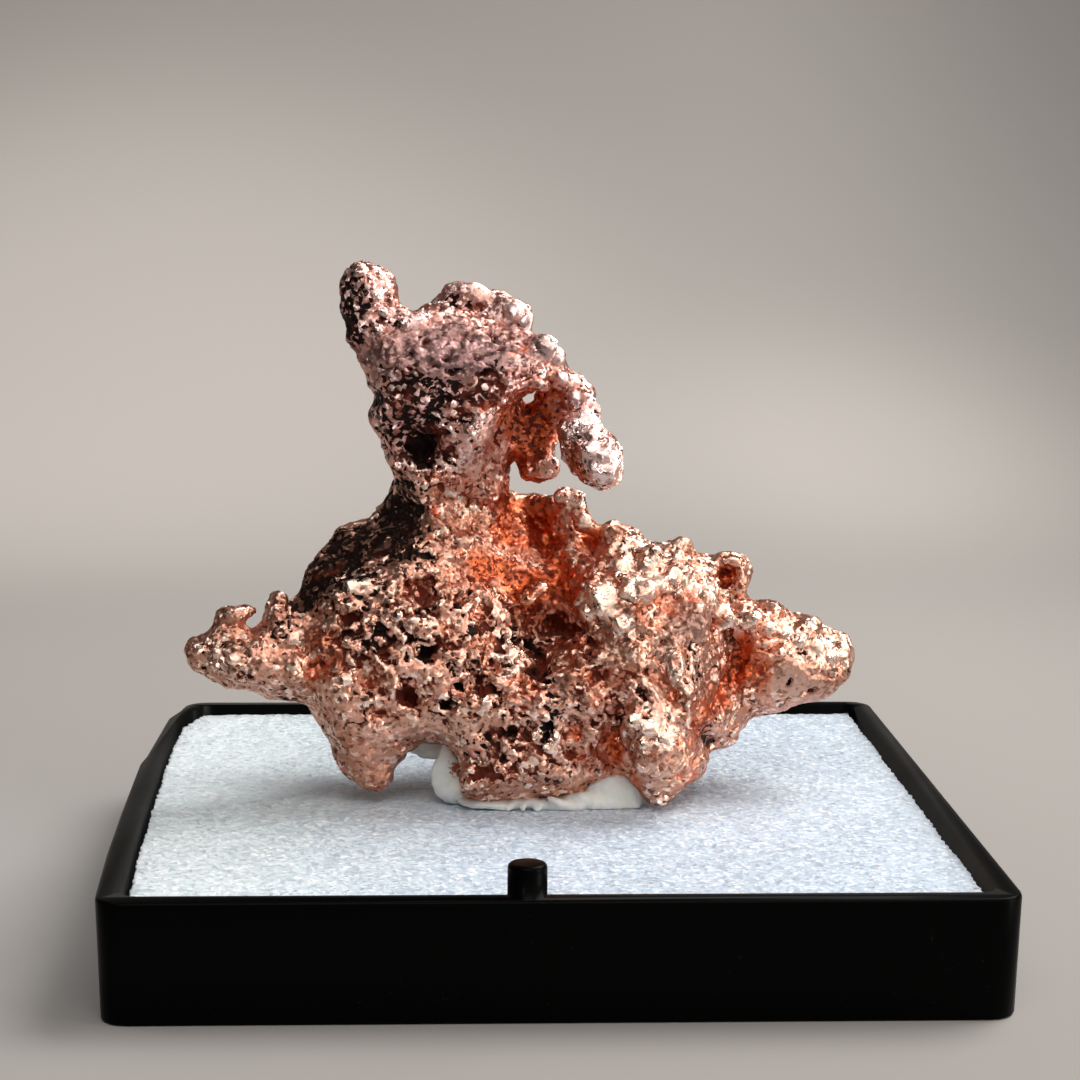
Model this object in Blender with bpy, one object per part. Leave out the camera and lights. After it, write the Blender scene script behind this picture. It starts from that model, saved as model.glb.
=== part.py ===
# Native copper nugget held by mounting putty on the foam of a small black display tray.
# Metres, +Z up. The origin is the centre of the tray's underside, and the tray's front faces -Y.
import math

import bmesh
import bpy
import numpy as np
from mathutils import Matrix, Vector, geometry

MM = 0.001

# Tray
TRAY_WIDTH = 32.0 * MM
TRAY_HEIGHT = 4.4 * MM
TRAY_WALL = 0.8 * MM
TRAY_FLOOR = 1.0 * MM
TRAY_DRAFT = 0.11 * MM  # each side is this much narrower at the underside than at the rim
TRAY_CORNER = 1.0 * MM
RIM_ROUND = 0.12 * MM
PEG_RADIUS = 0.69 * MM
PEG_HEIGHT = 1.15 * MM  # above the rim
PEG_X = -1.2 * MM
# The left wall bows out and ends in a small step. Each pair is a place along the wall, from back
# to front, and how far the wall stands out of the square there.
LEFT_OUTSIDE = [
    (14.2 * MM, 0.1 * MM), (12.6 * MM, 0.45 * MM), (5.4 * MM, 0.6 * MM), (3.9 * MM, 0.72 * MM),
    (-4.0 * MM, 0.5 * MM), (-9.6 * MM, 0.3 * MM), (-13.0 * MM, 0.12 * MM),
]
LEFT_INSIDE = [
    (14.0 * MM, 0.35 * MM), (12.3 * MM, 0.85 * MM), (5.0 * MM, 0.8 * MM), (2.0 * MM, 0.7 * MM),
    (-4.0 * MM, 0.5 * MM), (-9.0 * MM, 0.3 * MM), (-13.5 * MM, 0.05 * MM),
]

# Foam
FOAM_RECESS = 0.35 * MM  # foam top below the rim
FOAM_SIDE_GAP = 0.2 * MM
FIT_GAP = 0.1 * MM  # between pieces that touch
FOAM_EDGE_ROUND = 0.12 * MM
FOAM_TOP = TRAY_HEIGHT - FOAM_RECESS

# Nugget. Its outlines and relief are measured in millimetres across the plane y = MEASURE_Y,
# as seen from SIGHT_POINT, and each point then lies at its true depth along its line of sight.
SIGHT_POINT = (-4.37, -96.64, 28.87)
MEASURE_Y = -1.0
OUTLINE_STEP = 0.25  # spacing of the mesh points, in millimetres
BODY_ROUND = 1.25  # distance from the outline over which a sheet reaches its full thickness
TOWER_ROUND = 0.9
WEB_ROUND = 0.4
NUGGET_VOXEL = 0.2 * MM
SWELL_SIZE = 1.5 * MM
SWELL_DEPTH = 0.3 * MM
SWELL_LEVEL = 0.45  # of the swell pattern that keeps to the sheet surface
NODULE_SIZE = 0.8 * MM
NODULE_DEPTH = 0.24 * MM
NODULE_LEVEL = 0.7  # of the nodule pattern that keeps to the sheet surface
NUGGET_TRIANGLE_SHARE = 0.11  # of the triangles of the voxel surface

BODY_OUTLINE = [
    # neck and dark left shoulder
    (-5.8, 17.3), (-6.1, 16.8), (-6.4, 16.3), (-6.65, 15.8), (-6.9, 15.4), (-7.4, 15.35), (-7.9, 15.4),
    (-8.25, 15.05), (-8.4, 14.5), (-8.85, 14.15), (-9.2, 13.65), (-9.5, 13.0), (-9.8, 12.35), (-10.05, 11.85),
    # left horn with its spike, keyhole notch and hooked lobe
    (-10.3, 12.2), (-10.5, 12.7), (-10.8, 12.55), (-11.0, 12.1), (-11.1, 11.7), (-11.25, 11.3), (-11.5, 11.05),
    (-11.8, 11.05), (-11.95, 11.3), (-11.75, 11.5), (-11.35, 11.6), (-11.25, 11.9), (-11.7, 12.1), (-12.3, 12.05),
    (-12.85, 11.75), (-13.1, 11.25), (-13.35, 10.95), (-13.85, 10.95), (-14.2, 10.7), (-14.4, 10.25),
    (-14.2, 9.75), (-13.85, 9.3), (-13.3, 9.1), (-12.8, 8.8), (-12.2, 8.6), (-11.5, 8.5), (-10.9, 8.25),
    (-10.4, 8.15), (-9.9, 8.2), (-9.45, 8.25),
    # left foot
    (-9.25, 7.8), (-8.9, 7.25), (-8.6, 6.75), (-8.45, 6.15), (-8.25, 5.55), (-7.85, 5.05), (-7.4, 4.6),
    (-6.95, 4.4), (-6.5, 4.5), (-6.15, 4.9), (-6.05, 5.45), (-5.65, 5.8), (-5.3, 6.2),
    # arch, middle foot and the long lower edge
    (-4.9, 6.4), (-4.2, 6.4), (-3.8, 6.1), (-3.5, 5.7), (-3.4, 5.1), (-3.4, 4.5), (-3.15, 4.0), (-2.6, 3.9),
    (-1.6, 4.0), (-0.6, 4.05), (0.3, 3.95), (1.2, 4.0), (1.9, 4.15), (2.3, 4.45), (2.8, 4.8), (3.3, 4.7),
    # right foot
    (3.8, 4.3), (4.05, 3.85), (4.35, 3.5), (4.8, 3.75), (5.35, 4.2), (5.8, 4.6), (6.35, 5.0), (6.65, 5.5),
    (6.7, 6.05), (7.2, 6.1), (7.7, 6.4), (8.0, 6.85), (8.25, 7.4),
    # right horn
    (8.7, 7.4), (9.3, 7.65), (9.9, 7.9), (10.6, 8.0), (11.2, 8.2), (11.8, 8.6), (12.2, 9.1), (12.4, 9.7),
    (12.35, 10.3), (12.1, 10.7), (11.7, 11.0), (11.1, 11.25), (10.5, 11.6), (9.9, 11.7), (9.4, 12.0),
    (8.9, 12.25), (8.4, 12.1), (8.05, 12.0),
    # right knob and the stepped upper edge up to the saddle
    (7.95, 12.4), (8.05, 12.9), (8.2, 13.4), (8.05, 13.85), (7.6, 14.1), (7.1, 14.1), (6.6, 13.95), (6.1, 14.0),
    (5.75, 14.2), (5.6, 14.45), (5.75, 14.75), (5.4, 14.9), (5.1, 14.65), (4.6, 14.6), (4.1, 14.6), (3.85, 14.85),
    (3.45, 15.05), (3.1, 15.35), (2.75, 15.3), (2.3, 15.3), (1.8, 15.25), (1.65, 15.65), (1.5, 16.1),
    (1.3, 16.6), (0.8, 16.7), (0.35, 16.55), (0.0, 16.4), (-0.4, 16.5), (-0.75, 16.6), (-1.15, 16.45),
    (-1.6, 16.8), (-2.4, 17.4),
]
# (x, z, depth) of the body's front and back
BODY_FRONT = [
    (-13.8, 10.2, -2.2), (-12.6, 10.0, -3.0), (-12.4, 11.5, -2.2), (-10.7, 12.2, -1.8), (-11.0, 9.5, -3.2),
    (-9.2, 11.0, -2.9), (-9.0, 9.0, -3.4), (-8.8, 13.0, -1.4), (-7.8, 14.7, 0.2), (-6.3, 15.9, 0.9),
    (-7.6, 7.0, -3.2), (-7.0, 5.3, -2.3), (-6.6, 12.6, -2.5), (-5.2, 14.6, -0.9), (-5.0, 10.0, -3.6),
    (-4.5, 7.5, -3.1), (-2.5, 5.2, -3.6), (-2.0, 8.5, -3.3), (-3.0, 12.4, -2.1), (-2.6, 14.4, -0.2),
    (-3.2, 16.3, 0.0), (-0.6, 15.3, 1.5), (0.0, 13.6, 0.5), (1.0, 15.9, 0.9), (2.2, 14.9, 0.1),
    (-1.0, 12.4, -1.2), (0.4, 11.1, -0.4), (1.6, 12.4, -1.6), (3.6, 13.0, -1.9), (4.6, 14.0, -0.6),
    (0.9, 9.5, -2.9), (1.4, 7.0, -3.4), (0.6, 5.3, -3.2), (3.4, 7.6, -3.6), (2.9, 5.8, -2.6), (4.0, 10.5, -3.5),
    (5.2, 12.0, -2.6), (5.0, 8.2, -4.0), (4.8, 6.3, -4.5), (4.6, 4.7, -3.2), (6.1, 7.2, -3.2), (6.9, 6.8, -1.5),
    (6.1, 10.2, -2.7), (7.2, 9.6, -0.9), (7.3, 11.5, -0.4), (7.6, 13.4, 0.1), (6.3, 13.3, -0.7),
    (8.4, 11.3, -0.3), (9.8, 9.4, -0.9), (10.4, 10.8, 0.2), (11.8, 10.0, 0.5), (8.6, 8.3, -0.4), (7.6, 7.6, -0.9),
]
BODY_BACK = [
    (-13.8, 10.2, -0.7), (-12.0, 10.0, 0.3), (-10.7, 12.2, -0.4), (-10.0, 10.0, 1.6), (-8.2, 12.0, 2.8),
    (-8.0, 7.0, 1.6), (-7.0, 5.3, 0.3), (-6.2, 15.4, 3.6), (-5.0, 10.0, 3.9), (-4.5, 7.2, 2.0), (-3.0, 13.2, 4.7),
    (-2.0, 5.0, 1.6), (-1.0, 9.2, 5.1), (0.0, 15.2, 4.2), (2.0, 12.0, 5.2), (3.2, 14.0, 3.6), (2.0, 6.2, 3.2),
    (5.0, 8.4, 3.9), (5.2, 12.0, 4.5), (4.6, 5.0, -0.6), (7.5, 13.4, 2.7), (7.4, 8.0, 2.8), (9.2, 10.0, 3.8),
    (11.6, 10.0, 2.9), (-3.2, 16.6, 3.0),
]
# (x, z, radius, depth) of dents in the body's front and back
BODY_PITS = [
    # hollows across the middle
    (0.2, 11.0, 0.6, 1.3), (-0.8, 11.3, 0.45, 1.1), (1.1, 11.0, 0.4, 0.9), (-1.1, 12.1, 0.4, 0.7),
    (-0.6, 10.1, 0.45, 0.9), (0.6, 9.8, 0.45, 0.5), (-1.9, 10.6, 0.4, 0.7), (-2.6, 11.6, 0.45, 0.6),
    # left half
    (-4.9, 12.4, 0.5, 0.8), (-3.9, 11.2, 0.4, 0.6), (-6.2, 10.5, 0.5, 0.8), (-4.6, 10.0, 0.45, 0.7),
    (-7.2, 9.1, 0.45, 0.7), (-5.3, 8.3, 0.5, 0.8), (-3.4, 8.7, 0.45, 0.7), (-7.8, 11.3, 0.45, 0.7),
    (-9.2, 11.5, 0.45, 0.6), (-10.3, 10.3, 0.55, 0.5), (-10.4, 8.6, 0.35, 0.6), (-8.9, 9.6, 0.4, 0.6),
    (-6.6, 12.0, 0.4, 0.5), (-2.2, 9.6, 0.4, 0.6), (-4.4, 7.2, 0.35, 0.4), (-6.4, 7.4, 0.4, 0.5),
    # lower edge
    (-2.1, 6.9, 0.5, 0.5), (-1.0, 7.1, 0.45, 0.6), (-0.1, 6.9, 0.4, 0.5), (1.07, 6.9, 0.5, 0.7), (-2.4, 5.7, 0.4, 0.4),
    # right part
    (7.2, 13.2, 0.4, 1.1), (7.0, 12.2, 0.3, 0.8), (2.6, 8.6, 0.4, 0.5), (6.6, 6.4, 0.35, 0.5), (10.4, 8.8, 0.3, 0.3),
    # saddle
    (-0.9, 16.0, 0.35, 0.8), (-0.4, 15.3, 0.45, 1.1), (0.1, 14.6, 0.4, 0.9), (-3.6, 13.3, 0.5, 0.5),
    (1.6, 13.9, 0.4, 0.4), (0.8, 13.2, 0.5, 0.4),
]
# (x, z) along creases in the body's front, with their half width and depth
BODY_CREASES = [
    ([(4.4, 9.3), (4.9, 8.5), (5.6, 7.7), (6.2, 6.9), (6.6, 6.1)], 0.3, 1.0),
    ([(7.3, 11.4), (7.5, 10.5), (7.6, 9.4), (7.1, 8.3)], 0.4, 1.0),
    ([(2.9, 7.6), (2.7, 6.7), (2.75, 5.8), (3.1, 5.2)], 0.35, 1.0),
    ([(5.0, 12.3), (4.7, 11.2), (4.6, 10.2), (4.4, 9.3)], 0.35, 0.6),
    ([(-9.3, 12.6), (-9.3, 11.2), (-9.6, 9.8), (-9.4, 8.9)], 0.4, 0.7),
    ([(-2.6, 13.2), (-1.0, 12.9), (0.6, 12.2), (1.5, 11.6)], 0.3, 0.6),
    ([(1.5, 15.2), (1.7, 14.2), (2.6, 13.5), (4.6, 13.4)], 0.25, 0.5),
]
BODY_BACK_PITS = [
    (-8.6, 10.6, 0.7, 0.9), (-6.0, 13.0, 0.8, 1.0), (-4.2, 9.0, 0.9, 1.1), (-1.6, 12.4, 0.7, 1.0),
    (0.9, 9.6, 1.0, 1.3), (3.8, 11.2, 0.7, 1.0), (6.4, 9.4, 0.8, 1.1), (2.4, 14.2, 0.6, 0.8),
    (8.6, 10.9, 0.6, 0.8), (-2.6, 6.6, 0.7, 0.8), (3.0, 6.9, 0.6, 0.9), (-5.0, 15.6, 0.6, 0.8),
]

TOWER_OUTLINE = [
    # left edge from the neck up to the tall left horn
    (-5.6, 15.6), (-5.95, 16.4), (-6.0, 17.0), (-6.15, 17.5), (-6.4, 17.9), (-6.5, 18.5), (-6.75, 18.95),
    (-7.05, 19.4), (-6.9, 19.8), (-6.7, 20.15), (-6.85, 20.6), (-7.05, 21.1), (-7.3, 21.6), (-7.75, 22.15),
    (-7.95, 22.5), (-7.8, 22.85), (-7.9, 23.3), (-8.1, 23.6), (-8.0, 24.0), (-8.15, 24.4), (-7.95, 24.9),
    (-7.8, 25.3), (-7.45, 25.6), (-6.9, 25.5), (-6.4, 25.25), (-5.95, 24.9), (-5.65, 24.5), (-5.7, 24.0),
    # notch and crest
    (-5.6, 23.65), (-5.35, 23.6), (-4.9, 23.8), (-4.3, 23.9), (-3.4, 23.8), (-2.4, 23.7),
    (-1.6, 23.45), (-1.0, 23.2), (-0.7, 22.9), (-0.6, 22.6), (-0.1, 22.7), (0.1, 22.35), (0.6, 22.2),
    # shoulder down to the root of the arm
    (0.8, 21.7), (0.95, 21.25), (1.2, 20.85), (1.5, 20.35), (1.75, 19.9), (1.95, 19.5), (1.85, 19.1), (1.3, 19.1),
    (0.95, 19.6), (0.6, 20.3), (0.05, 20.85),
    # edge of the fold around the hollow
    (-0.9, 20.4), (-1.6, 19.8), (-2.0, 19.0), (-2.3, 18.0), (-2.2, 17.3), (-1.6, 16.9), (-1.4, 16.2), (-2.2, 15.6),
]
TOWER_FRONT = [
    (-7.2, 24.6, -1.3), (-6.1, 23.5, -1.1), (-7.2, 22.4, -1.4), (-3.6, 23.6, -0.5), (-1.4, 23.2, -0.3),
    (-5.2, 22.5, -1.5), (-2.6, 22.4, -1.4), (-5.0, 21.2, -2.5), (-2.6, 21.3, -2.3), (-6.3, 20.5, -1.9),
    (-4.6, 19.4, -1.5), (-2.9, 20.1, -2.0), (-3.2, 18.7, -1.5), (-5.7, 18.2, -0.9), (-4.6, 17.2, -0.6),
    (-2.7, 17.3, -0.6), (-4.0, 16.2, -0.2), (-0.6, 21.6, -1.8), (0.6, 21.3, -1.1), (1.5, 20.2, -0.8),
]
TOWER_BACK = [
    (-7.2, 24.4, 0.5), (-6.4, 21.0, 1.3), (-3.2, 23.0, 1.5), (-4.0, 20.2, 1.9), (-5.4, 18.0, 2.3),
    (-3.2, 17.4, 2.7), (0.0, 21.8, 0.9), (1.5, 20.0, 0.7), (-1.8, 20.8, 1.4), (-4.0, 16.0, 3.0),
]
TOWER_PITS = [
    (-5.2, 18.5, 0.65, 1.0), (-6.2, 19.5, 0.4, 0.5), (-5.6, 20.5, 0.4, 0.4), (-4.4, 20.6, 0.45, 0.5),
    (-3.3, 20.8, 0.4, 0.4), (-7.6, 24.0, 0.35, 0.4), (-2.4, 20.9, 0.35, 0.4), (-5.9, 17.6, 0.35, 0.3),
]
TOWER_BACK_PITS = [
    (-5.0, 21.6, 0.7, 0.7), (-3.0, 19.4, 0.6, 0.8), (-6.6, 23.4, 0.5, 0.5), (-1.6, 22.4, 0.5, 0.6),
]

# Rolled crest behind the top of the tower
CREST_OUTLINE = [
    (-5.4, 23.2), (-5.1, 23.7), (-4.5, 23.95), (-4.15, 24.3), (-3.8, 24.6), (-3.4, 24.7), (-3.0, 24.65),
    (-2.7, 24.35), (-2.3, 24.2), (-1.8, 24.25), (-1.4, 24.05), (-1.0, 23.75), (-0.75, 23.3), (-0.7, 22.8),
    (-1.6, 22.4), (-3.2, 22.2), (-4.8, 22.5),
]
CREST_FRONT = [(-4.8, 23.5, 0.1), (-3.5, 24.3, 0.3), (-1.8, 24.0, 0.0), (-3.0, 22.6, 0.1), (-1.0, 23.0, 0.0)]
CREST_BACK = [(-4.8, 23.5, 1.6), (-3.5, 24.3, 2.3), (-1.8, 24.0, 2.2), (-3.0, 22.6, 1.6), (-1.0, 23.0, 1.5)]

# Heavy knobbed arm that stands out in front of the hollow
ARM_OUTLINE = [
    (0.3, 19.25), (0.45, 19.6), (0.85, 19.65), (1.3, 19.45), (1.8, 19.2), (2.3, 19.0), (2.75, 18.7), (2.95, 18.35),
    (3.0, 17.8), (2.95, 17.2), (2.7, 16.75), (2.35, 16.55), (1.9, 16.65), (1.45, 16.9), (1.05, 17.2),
    (0.65, 17.55), (0.42, 18.0), (0.35, 18.7),
]
ARM_FRONT = [(0.6, 19.2, -2.2), (1.2, 18.8, -2.9), (1.9, 18.3, -3.3), (2.4, 17.6, -3.2), (1.2, 17.8, -2.5),
             (2.3, 17.0, -2.8)]
ARM_BACK = [(0.6, 19.2, -1.2), (1.2, 18.8, -1.1), (1.9, 18.3, -1.3), (2.4, 17.6, -1.5), (1.2, 17.8, -1.5),
            (2.3, 17.0, -1.6)]

# Thin web that closes most of the hollow under the fold, with its holes left open
WEB_OUTLINE = [
    (-2.6, 17.6), (-2.4, 19.2), (-1.8, 20.4), (-1.15, 20.75), (-0.98, 20.35), (-0.98, 20.0), (-0.75, 19.92),
    (-0.52, 20.05), (-0.55, 20.45), (-0.4, 20.9), (0.4, 21.2), (1.0, 20.6), (0.8, 19.6), (0.5, 18.8), (0.35, 18.2),
    (0.42, 17.7), (0.25, 17.15), (-0.2, 16.8), (-0.55, 16.95), (-0.9, 16.8), (-1.15, 17.15), (-1.1, 17.7),
    (-1.2, 17.95), (-1.5, 17.9), (-1.5, 17.4), (-1.35, 16.9), (-2.0, 16.6),
]
WEB_FRONT = [(-2.0, 19.0, 0.0), (-0.2, 20.6, 0.3), (0.5, 19.4, 0.3), (-0.8, 18.6, 0.8), (-0.3, 17.4, 0.3),
             (-1.8, 17.4, 0.1)]
WEB_BACK = [(-2.0, 19.0, 1.6), (-0.2, 20.6, 1.4), (0.5, 19.4, 1.5), (-0.8, 18.6, 2.0), (-0.3, 17.4, 1.9),
            (-1.8, 17.4, 1.9)]

# Rounded lumps that grew out of the sheets: (x, z, depth, half width, half height, half depth, turn in degrees)
LUMPS = [
    # root of the arm
    (1.35, 20.4, -0.4, 0.5, 0.8, 0.8, -25), (1.6, 19.7, -0.8, 0.45, 0.6, 0.9, -20), (1.3, 19.3, -1.4, 0.7, 0.4, 0.9, 25),
    (2.1, 18.3, -2.5, 0.72, 0.6, 0.75, 0),
    # tall left horn, with a beaded ledge running right from its root
    (-7.1, 24.3, -0.6, 0.75, 1.1, 0.8, 15), (-6.3, 24.3, -0.5, 0.45, 0.6, 0.7, 0), (-5.9, 23.4, -0.8, 0.5, 0.35, 0.6, -30),
    (-5.2, 23.15, -0.8, 0.55, 0.3, 0.6, 10),
    # two rolls of the crest
    (-3.45, 24.3, 1.2, 0.75, 0.42, 0.9, 10), (-1.75, 23.95, 1.0, 0.75, 0.42, 0.9, 22),
    # bright knobs on the shoulder and a lip on the fold
    (-0.25, 22.35, -0.9, 0.45, 0.4, 0.5, 0), (0.5, 22.0, -0.5, 0.3, 0.28, 0.4, 0),
    (-0.7, 20.95, -1.4, 0.9, 0.3, 0.6, 25), (-1.7, 20.25, -1.5, 0.6, 0.3, 0.55, 45),
    # nodules along the saddle and the upper edge
    (0.65, 16.25, 0.5, 0.42, 0.42, 0.5, 0), (1.25, 16.2, 0.7, 0.32, 0.34, 0.4, 0), (1.35, 15.7, 0.3, 0.4, 0.32, 0.5, 0),
    (1.6, 15.1, 0.0, 0.6, 0.3, 0.5, 10), (2.5, 15.0, 0.1, 0.5, 0.34, 0.5, -20), (3.0, 14.6, 0.0, 0.3, 0.6, 0.4, -20),
    (4.2, 14.1, -0.6, 0.5, 0.4, 0.5, 0), (5.35, 14.5, 0.4, 0.45, 0.32, 0.5, 0), (5.3, 13.3, -1.4, 0.5, 0.4, 0.5, 0),
    (-4.3, 15.3, -0.5, 0.7, 0.25, 0.4, 40), (-3.4, 14.6, -0.6, 0.5, 0.3, 0.5, -20),
    # bright nodules of the middle ledge
    (1.9, 12.6, -1.7, 0.52, 0.42, 0.45, 0), (1.35, 12.1, -1.6, 0.34, 0.3, 0.4, 0), (2.3, 11.9, -1.8, 0.4, 0.28, 0.4, 0),
    (3.4, 12.9, -2.1, 0.5, 0.32, 0.4, -15), (4.15, 12.65, -2.3, 0.5, 0.32, 0.4, 0), (3.1, 11.6, -2.4, 0.3, 0.28, 0.4, 0),
    (-0.5, 12.5, -1.3, 0.8, 0.35, 0.5, -30),
    # right knob with its rolled rim
    (7.7, 13.65, 0.7, 0.42, 0.4, 0.8, 0), (7.2, 13.85, 0.6, 0.5, 0.26, 0.7, 10), (7.75, 12.9, 0.5, 0.3, 0.6, 0.7, 5),
    # right horn
    (8.0, 11.5, -0.1, 0.6, 0.5, 0.7, 0), (9.0, 11.8, 0.9, 0.6, 0.4, 0.9, -10), (10.2, 11.0, 0.9, 1.0, 0.5, 1.0, -20),
    (11.7, 10.2, 1.6, 0.65, 0.8, 1.2, 0), (9.9, 9.3, 0.4, 1.2, 0.85, 1.1, 0), (11.3, 9.2, 1.2, 0.9, 0.7, 1.1, 20),
    # ridges of the right foot
    (4.6, 5.9, -3.9, 1.2, 1.0, 0.9, 10), (5.55, 7.9, -3.6, 0.38, 1.1, 0.6, 15), (4.0, 7.3, -3.9, 0.9, 0.45, 0.6, 20),
    (6.1, 11.4, -2.4, 0.5, 0.9, 0.7, 0), (5.2, 9.6, -3.5, 0.3, 0.9, 0.5, 0), (3.4, 9.4, -3.4, 0.5, 0.5, 0.5, 0),
    # left horn, left foot and the middle foot
    (-13.5, 10.1, -1.6, 0.75, 0.6, 0.8, -15), (-12.4, 11.6, -1.5, 0.55, 0.4, 0.6, 25), (-11.4, 10.3, -2.3, 0.6, 0.5, 0.8, 0),
    (-10.5, 12.1, -1.3, 0.32, 0.5, 0.5, -10), (-9.9, 9.4, -2.6, 0.4, 0.7, 0.8, 0),
    (-6.9, 5.4, -1.3, 0.65, 0.65, 0.9, 0), (-8.0, 7.2, -2.2, 0.5, 0.8, 0.8, -20), (-2.9, 4.9, -2.8, 0.45, 0.6, 0.7, 0),
    # back ridges
    (-6.5, 9.5, 3.2, 0.8, 2.0, 1.2, -20), (-2.6, 10.8, 4.4, 0.7, 2.2, 1.1, 15), (2.6, 9.8, 4.6, 0.8, 2.4, 1.2, -10),
    (6.2, 12.0, 4.0, 1.6, 0.7, 1.0, -15), (8.6, 9.2, 3.4, 1.6, 0.7, 0.9, 10), (-4.6, 15.0, 3.8, 1.4, 0.7, 0.9, 20),
    (-4.8, 19.0, 1.9, 0.6, 1.8, 0.7, 10), (-2.4, 21.6, 1.5, 1.5, 0.5, 0.7, -15), (0.2, 13.4, 4.6, 1.3, 0.6, 0.8, 0),
]

# Putty lumps, in true millimetres: (x, y, z, half width, half depth, half height)
PUTTY_LUMPS = [
    (-3.9, -0.9, 5.1, 0.75, 0.6, 1.25), (-4.0, -0.4, 4.4, 1.0, 1.3, 0.7), (-2.2, -1.5, 4.2, 1.7, 1.3, 0.7),
    (-0.2, -1.6, 4.1, 1.9, 1.3, 0.7), (1.2, -1.2, 4.4, 1.9, 1.5, 0.8), (2.8, -1.4, 4.4, 1.5, 1.2, 1.0),
    (3.3, -0.6, 4.3, 1.2, 1.2, 0.7), (0.0, 0.8, 4.4, 3.4, 1.8, 0.9), (-4.6, 1.2, 5.2, 1.0, 0.8, 1.2),
    (-2.6, 1.4, 4.6, 1.8, 1.6, 1.2),
]
PUTTY_VOXEL = 0.3 * MM
PUTTY_TRIANGLE_SHARE = 0.16


def clear_scene():
    for found in list(bpy.data.objects):
        bpy.data.objects.remove(found)


def make_material(name, colour, roughness, metallic):
    material = bpy.data.materials.new(name)
    material.use_nodes = True
    shader = material.node_tree.nodes["Principled BSDF"]
    shader.inputs["Base Color"].default_value = (*colour, 1.0)
    shader.inputs["Roughness"].default_value = roughness
    shader.inputs["Metallic"].default_value = metallic
    return material


def make_object(name, mesh_builder, material):
    """A mesh object from a bmesh, which this frees."""
    mesh = bpy.data.meshes.new(name)
    mesh_builder.to_mesh(mesh)
    mesh_builder.free()
    made = bpy.data.objects.new(name, mesh)
    made.data.materials.append(material)
    bpy.context.scene.collection.objects.link(made)
    return made


def add_rounded_box(builder, half, bottom_half, bottom, top, corner, corner_steps=5, left=()):
    """A box with rounded upright corners, half wide at the top and bottom_half wide at the bottom."""
    rings = []
    for reach, height in ((bottom_half, bottom), (half, top)):
        ring = []
        for quarter in range(4):
            centre = (reach - corner) * Vector(((1, 1), (-1, 1), (-1, -1), (1, -1))[quarter])
            for step in range(corner_steps + 1):
                angle = (quarter + step / corner_steps) * math.pi / 2
                edge = centre + corner * Vector((math.cos(angle), math.sin(angle)))
                ring.append(builder.verts.new((edge.x, edge.y, height)))
            if quarter == 1:
                ring += [builder.verts.new((-reach - bow, y, height)) for y, bow in left]
        rings.append(ring)
    builder.faces.new(list(reversed(rings[0])))
    builder.faces.new(rings[1])
    count = len(rings[0])
    for i in range(count):
        j = (i + 1) % count
        builder.faces.new((rings[0][i], rings[0][j], rings[1][j], rings[1][i]))


def make_cutter(name, mesh_builder, material):
    cutter = make_object(name, mesh_builder, material)
    cutter.hide_render = True
    cutter.display_type = "WIRE"
    return cutter


def add_boolean(target, other, operation):
    modifier = target.modifiers.new(operation.title(), "BOOLEAN")
    modifier.operation = operation
    modifier.object = other
    modifier.solver = "EXACT"


def peg_shape(radius, bottom, top):
    """A round peg with a bevelled end, standing on the middle of the front wall."""
    builder = bmesh.new()
    height = top - bottom
    bmesh.ops.create_cone(
        builder, cap_ends=True, segments=24, radius1=radius, radius2=radius, depth=height,
        matrix=Matrix.Translation((PEG_X, peg_y(), bottom + height / 2)),
    )
    return builder


def peg_y():
    """The peg is flush with the outside of the front wall and reaches in over it."""
    return -TRAY_WIDTH / 2 + PEG_RADIUS + 0.1 * MM


def make_tray(material):
    half = TRAY_WIDTH / 2
    builder = bmesh.new()
    add_rounded_box(builder, half, half - TRAY_DRAFT, 0.0, TRAY_HEIGHT, TRAY_CORNER, left=LEFT_OUTSIDE)
    tray = make_object("tray", builder, material)
    rounding = tray.modifiers.new("Rim round", "BEVEL")
    rounding.width = RIM_ROUND
    rounding.segments = 2
    rounding.limit_method = "ANGLE"
    rounding.angle_limit = math.radians(60)

    builder = bmesh.new()
    inner = half - TRAY_WALL
    corner = TRAY_CORNER - TRAY_WALL / 2
    add_rounded_box(builder, inner, inner - TRAY_DRAFT, TRAY_FLOOR, TRAY_HEIGHT + MM, corner, left=LEFT_INSIDE)
    add_boolean(tray, make_cutter("tray_hollow", builder, material), "DIFFERENCE")

    builder = peg_shape(PEG_RADIUS, TRAY_FLOOR / 2, TRAY_HEIGHT + PEG_HEIGHT)
    peg_top = max(v.co.z for v in builder.verts)
    end_edges = [e for e in builder.edges if all(v.co.z > peg_top - MM / 100 for v in e.verts)]
    bmesh.ops.bevel(builder, geom=end_edges, offset=PEG_RADIUS / 4, segments=3, affect="EDGES", profile=0.5)
    add_boolean(tray, make_cutter("tray_peg", builder, material), "UNION")
    return tray


def make_foam(material):
    half = TRAY_WIDTH / 2 - TRAY_WALL - FOAM_SIDE_GAP
    builder = bmesh.new()
    bottom = TRAY_FLOOR + FIT_GAP
    add_rounded_box(builder, half, half - TRAY_DRAFT, bottom, FOAM_TOP, TRAY_CORNER / 2, 3, LEFT_INSIDE)
    foam = make_object("foam_insert", builder, material)
    rounding = foam.modifiers.new("Crumbled edge", "BEVEL")
    rounding.width = FOAM_EDGE_ROUND
    rounding.segments = 2
    rounding.limit_method = "ANGLE"
    rounding.angle_limit = math.radians(60)
    notch = peg_shape(PEG_RADIUS + FOAM_SIDE_GAP, 0.0, 2 * TRAY_HEIGHT)
    add_boolean(foam, make_cutter("peg_notch", notch, material), "DIFFERENCE")
    return foam


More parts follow.
